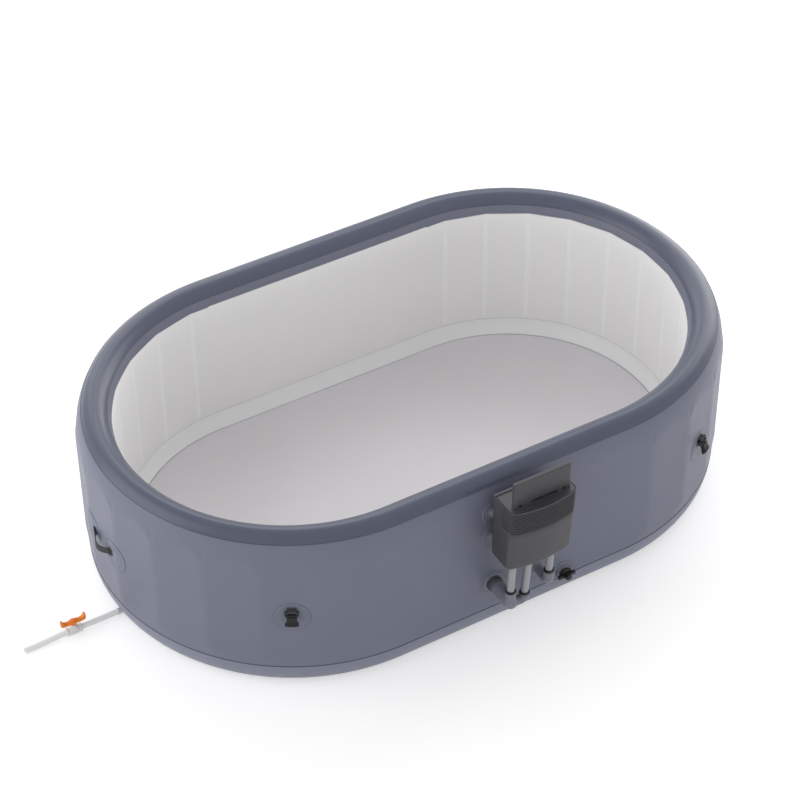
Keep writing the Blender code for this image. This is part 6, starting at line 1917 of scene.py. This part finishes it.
@dataclass(frozen=True)
class Drain:
    """The drain under the left end: outlet, hoses, ball valve and lever."""

    palette: Palette
    core: Object
    sump: Row = (-1.02, -0.041)
    axis_z: float = 0.017
    valve_x: float = -1.417
    hose_radius: float = 0.011
    hose_route: tuple[Place, ...] = (
        (-1.2443, -0.041, 0.017), (-1.253, -0.041, 0.017), (-1.296, -0.0412, 0.016),
        (-1.336, -0.0412, 0.016), (-1.377, -0.041, 0.017), (-1.3857, -0.041, 0.017))
    tail_route: tuple[Place, ...] = (
        (-1.4483, -0.041, 0.017), (-1.457, -0.041, 0.017), (-1.51, -0.0414, 0.0142),
        (-1.56, -0.042, 0.0118), (-1.603, -0.0422, 0.0113), (-1.612, -0.0422, 0.0113))
    tail_bore: float = 0.008
    lever_z: float = 0.0473
    floor_z: float = 0.06

    def build(self) -> None:
        """Build the drain and its two free hoses."""
        at_valve = [*self.build_valve(), self.core]
        self.build_cord("drain_hose_free", "drain_hose", self.hose_route, "fitting", at_valve)
        self.build_cord("drain_tail_free", "tail_hose", self.tail_route, "bare", [self.build_mouth()])
        self.build_outlet()

    def build_cord(self, name: str, node: str, route: Sequence[Sequence[float]], far_end: str,
                   pieces: list[Object]) -> None:
        """Build one stretch of free hose as a tube along its route.

        Args:
            name: its name.
            node: the node that it stands for.
            route: its route's points.
            far_end: what is on its end.
            pieces: what hangs on it; not used.
        """
        path = smooth_path(route, 24)
        bore = self.tail_bore if far_end == "bare" else 0.0
        piece = finish_piece(name, tube(path, [self.hose_radius] * len(path), 32, bore),
                             self.palette.free_hose, Slot.HOSE, node)
        length = sum((b - a).length for a, b in zip(path, path[1:]))
        tuple(route[0])
        [tuple(p) for p in path]

    def build_mouth(self) -> Object:
        """Build the moulded ring round the tail's open mouth."""
        end = Vector(self.tail_route[-1])
        bore = self.tail_bore
        ring = [(bore, -0.01), (0.011, -0.01), (0.0113, -0.0094), (0.0113, -0.0012), (0.0108, 0.0),
                (0.0086, 0.0), (bore, -0.0008)]
        return finish_piece("tail_mouth_ring", lathe(ring, facing((-1.0, 0.0, 0.0), end), 40),
                            self.palette.free_hose, Slot.HOSE)

    def build_valve(self) -> list[Object]:
        """Build the ball valve and its lever.

        Returns:
            The pieces that lie on the hose.
        """
        palette = self.palette
        at = Vector((self.valve_x, self.sump[1], self.axis_z))
        frame = facing((1.0, 0.0, 0.0), at)
        half = mm([(14.2, 31.2), (15, 30.4), (15, 24), (14.2, 23), (13.8, 18), (14.8, 16.6), (16.4, 14),
                   (16.7, 9)])
        profile = [(r, -h) for r, h in half] + [(r, h) for r, h in reversed(half)]
        body = [lathe([(0.0111, -0.0312), *profile, (0.0111, 0.0312)], frame, 48)]
        tower = mm([(0, 10), (10.8, 10), (9.8, 18), (9.5, 21.5), (8.8, 25), (0, 25.2)])
        body.append(lathe(tower, Matrix.Translation(at), 40))
        for low in (-0.0304, 0.0238):
            ridge = block((0.0144, -0.0009, low), (0.0155, 0.0009, low + 0.0066), 0.0004, segments=1)
            body.append(repeated("valve_ridges", ridge, 12, palette.valve, frame))
        valve = finish_piece("ball_valve_body", joined("valve", body), palette.valve, Slot.VALVE,
                             "valve_body")
        base = Vector((at.x, at.y, self.lever_z))
        lever = finish_piece("valve_handle", self.lever_mesh(base), palette.lever, Slot.LEVER, "valve_lever",
                             "drain_valve")
        return [valve, lever]

    def lever_mesh(self, base: Vector) -> Mesh:
        """Make the lever: a hub with two arms whose tips turn up.

        Args:
            base: the middle of its hub's underside.

        Returns:
            The mesh.
        """
        frame = Matrix.Translation(base)
        hub = mm([(0, 0), (12.2, 0), (13, 1), (13, 14), (11.8, 16.2), (9, 16.8), (0, 16.8)])
        parts = [lathe(hub, frame, 40)]
        sections = mm([(0, 7.8, 0.8, 20.4), (10.4, 7.8, 0.8, 20.4), (15.6, 7.7, 0.6, 16.8),
                       (24, 7.6, 0.6, 16.8), (33, 7.5, 0.8, 18.6), (38.8, 7.4, 1.2, 22),
                       (42.4, 7.2, 2.6, 30.6), (47, 6.9, 5.2, 33), (48.5, 5.6, 7.2, 32)])
        for way in (-1.0, 1.0):
            rings = []
            for x, half, low, high in sections:
                soft = min(half, (high - low) / 2) * 0.35
                ring = [(-half + soft, low), (half - soft, low), (half, low + soft), (half, high - soft),
                        (half - soft, high), (-half + soft, high), (-half, high - soft), (-half, low + soft)]
                rings.append([frame @ Vector((way * x, y, z)) for y, z in ring])
            parts.append(loft("arm", rings))
        return joined("lever", parts)

    def build_outlet(self) -> None:
        """Build the floor sump and the elbow under it, which leads to the hose."""
        x, y = self.sump
        palette = self.palette
        start = Vector((-1.244, y, self.axis_z))
        corner, end = Vector((x, y, self.axis_z)), Vector((x, y, self.floor_z))
        path = elbow_path(start, corner, end, 0.022, 12)
        pipe = tube(path, [0.0108] * len(path), 32)
        collar = mm([(10.8, 0), (12.2, 0.4), (12.5, 1.2), (12.5, 6.6), (11.8, 7.2), (10.8, 7.2)])
        socket = lathe(collar, facing((1.0, 0.0, 0.0), start), 40)
        sump = mm([(0, 0.4), (30, 0.4), (30, 1.6), (28.8, 2.8), (25, 3.2), (23.5, 2.2), (0, 2)])
        rim = lathe(sump, Matrix.Translation(end + UP * 0.0001), 48)
        # Painted shade: thin dark plates on the sump stand for the shade in its slots
        slot = block((0.007, -0.0013, 0.0621), (0.0205, 0.0013, 0.0626), 0.0002, segments=1)
        slots = repeated("drain_slots", slot, 12, palette.bore, Matrix.Translation((x, y, 0.0)))
        finish_piece("floor_drain", joined("drain", [pipe, socket, rim]), palette.pale_plastic, Slot.WELD,
                     "drain_outlet")
        finish_piece("floor_drain_slots", slots, palette.bore, Slot.WELD)


# Camera, light and floor


def seeing_ray(tree: NodeTree) -> NodeSocket:
    """Return 1 for the camera's rays and what they see in gloss or through glass, and 0 for light."""
    ray = add_node(tree, "ShaderNodeLightPath").outputs
    seen = ray["Is Camera Ray"]
    for other in ("Is Glossy Ray", "Is Transmission Ray"):
        seen = add_node(tree, "ShaderNodeMath", {"operation": "MAXIMUM"}, {0: seen, 1: ray[other]}).outputs[0]
    return seen


@dataclass(frozen=True)
class Studio:
    """A white studio seen from above the front left."""

    azimuth: float = math.radians(-30.18)
    elevation: float = math.radians(41.48)
    roll: float = math.radians(-0.44)
    target: float = 0.355
    shift: Row = (0.0199, -0.071)
    distance: float = 9.605
    focal_px: float = 2563.2
    frame_px: float = 800.0
    sensor: float = 36.0
    floor_half: float = 14.0
    floor_glow: float = 0.42
    horizon: float = 1.24
    zenith: float = 0.46
    lamps: tuple[tuple[str, Place, float, float, float], ...] = (
        ("soft_box_left", (-4.6, 1.2, 2.6), 0.4, 4.0, 70.0),
        ("soft_box_right", (4.4, 1.8, 2.4), 0.4, 4.0, 110.0),
        ("soft_box_back", (0.0, 5.2, 3.4), 0.4, 4.0, 60.0),
        ("soft_box_high", (1.9, 3.25, 4.66), 0.5, 2.2, 26.0))

    def build(self) -> None:
        """Build the camera, the floor, the world and the lamps."""
        scene = bpy.context.scene
        scene.view_settings.view_transform = "Standard"
        self.build_camera()
        self.build_floor()
        self.build_world()
        for lamp in self.lamps:
            self.add_lamp(*lamp)

    def build_camera(self) -> None:
        """Build the camera at the photograph's viewing angle."""
        back = Vector((math.sin(self.azimuth) * math.cos(self.elevation),
                       -math.cos(self.azimuth) * math.cos(self.elevation), math.sin(self.elevation)))
        side = UP.cross(back).normalized()
        rise = back.cross(side)
        across = side * math.cos(self.roll) + rise * math.sin(self.roll)
        rise = rise * math.cos(self.roll) - side * math.sin(self.roll)
        turn = Matrix((across, rise, back)).transposed()
        spot = Vector((0.0, 0.0, self.target)) - turn @ Vector((*self.shift, -self.distance))
        data = bpy.data.cameras.new("camera")
        data.lens = self.focal_px / self.frame_px * self.sensor
        data.sensor_width = self.sensor
        data.clip_end = 100.0
        camera = new_object("camera", data)
        camera.matrix_world = Matrix.Translation(spot) @ turn.to_4x4()
        bpy.context.scene.camera = camera

    def build_floor(self) -> None:
        """Build the pale floor, which turns white where nothing shades it."""
        half = self.floor_half
        mesh = mesh_from("floor", [(-half, -half, 0), (half, -half, 0), (half, half, 0), (-half, half, 0)],
                         [(0, 1, 2, 3)], closed=False)
        material = bpy.data.materials.new("studio_floor")
        material.use_nodes = True
        tree = material.node_tree
        tree.nodes.clear()
        paint = add_node(tree, "ShaderNodeBsdfDiffuse", inputs={"Color": linear("ececec")})
        glow = add_node(tree, "ShaderNodeEmission",
                        inputs={"Color": (1, 1, 1, 1), "Strength": self.floor_glow})
        both = add_node(tree, "ShaderNodeAddShader", inputs={0: paint.outputs[0], 1: glow.outputs[0]})
        mix = add_node(tree, "ShaderNodeMixShader",
                       inputs={0: seeing_ray(tree), 1: paint.outputs[0], 2: both.outputs[0]})
        add_node(tree, "ShaderNodeOutputMaterial", inputs={"Surface": mix.outputs[0]})
        mesh.materials.append(material)
        new_object("studio_floor", mesh)

    def build_world(self) -> None:
        """Build the world: bright round the horizon, dimmer overhead, and white where it is seen."""
        world = bpy.data.worlds.new("studio")
        bpy.context.scene.world = world
        world.use_nodes = True
        tree = world.node_tree
        tree.nodes.clear()
        place = add_node(tree, "ShaderNodeTexCoord")
        parts = add_node(tree, "ShaderNodeSeparateXYZ", inputs={0: place.outputs["Generated"]})
        fall = add_node(tree, "ShaderNodeMapRange",
                        inputs={"Value": parts.outputs["Z"], "From Min": 0.0, "From Max": 0.9,
                                "To Min": self.horizon, "To Max": self.zenith})
        level = add_node(tree, "ShaderNodeMix", {"data_type": "FLOAT"},
                         {0: seeing_ray(tree), 2: fall.outputs["Result"], 3: 1.0})
        glow = add_node(tree, "ShaderNodeBackground",
                        inputs={"Color": (1, 1, 1, 1), "Strength": level.outputs[0]})
        add_node(tree, "ShaderNodeOutputWorld", inputs={"Surface": glow.outputs[0]})

    def add_lamp(self, name: str, spot: Place, height: float, size: float, power: float) -> None:
        """Add one large soft lamp that points at the tub's middle.

        Args:
            name: its name.
            spot: where it hangs.
            height: the height that it points at.
            size: its width and height.
            power: its power in watts.
        """
        data = bpy.data.lights.new(name, "AREA")
        data.shape = "SQUARE"
        data.size = size
        data.energy = power
        turn = (Vector(spot) - UP * height).to_track_quat("Z", "Y").to_matrix().to_4x4()
        new_object(name, data).matrix_world = Matrix.Translation(spot) @ turn


def dress_nodes(frame: dict[str, Any], palette: Palette) -> None:
    """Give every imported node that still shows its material.

    Args:
        frame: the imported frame.
        palette: the materials.
    """
    by_slot = {Slot.SHELL: palette.wall, Slot.CROWN: palette.crown, Slot.LINER: palette.liner,
               Slot.WELD: palette.pale_plastic, Slot.FITTING: palette.slate_plastic,
               Slot.BLACK: palette.black, Slot.WEBBING: palette.webbing, Slot.CASE: palette.case,
               Slot.HOSE: palette.hose, Slot.KEY: palette.key, Slot.FAN: palette.fan,
               Slot.MOTOR: palette.motor, Slot.BALL: palette.ball, Slot.VALVE: palette.valve,
               Slot.LEVER: palette.lever}
    for entry in frame["record"]["subparts"]:
        slot, item = Slot(entry["material_slot"]), frame["nodes"][entry["node"]]
        item.data.materials.clear()
        item.data.materials.append(by_slot[slot])


def main() -> None:
    """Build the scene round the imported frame."""
    logging.basicConfig(level=logging.INFO, format="%(name)s: %(message)s")
    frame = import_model()
    Studio().build()
    palette = Palette()
    Drain(palette, frame["nodes"]["valve_core"]).build()
    dress_nodes(frame, palette)
    oval = Oval()
    for part in (Shell(palette, oval), WeldBands(palette, oval), TieWebs(palette, oval),
                 WallDressing(palette, oval), Fittings(palette, oval), PumpUnit(palette)):
        part.build()


if __name__ == "__main__":
    main()
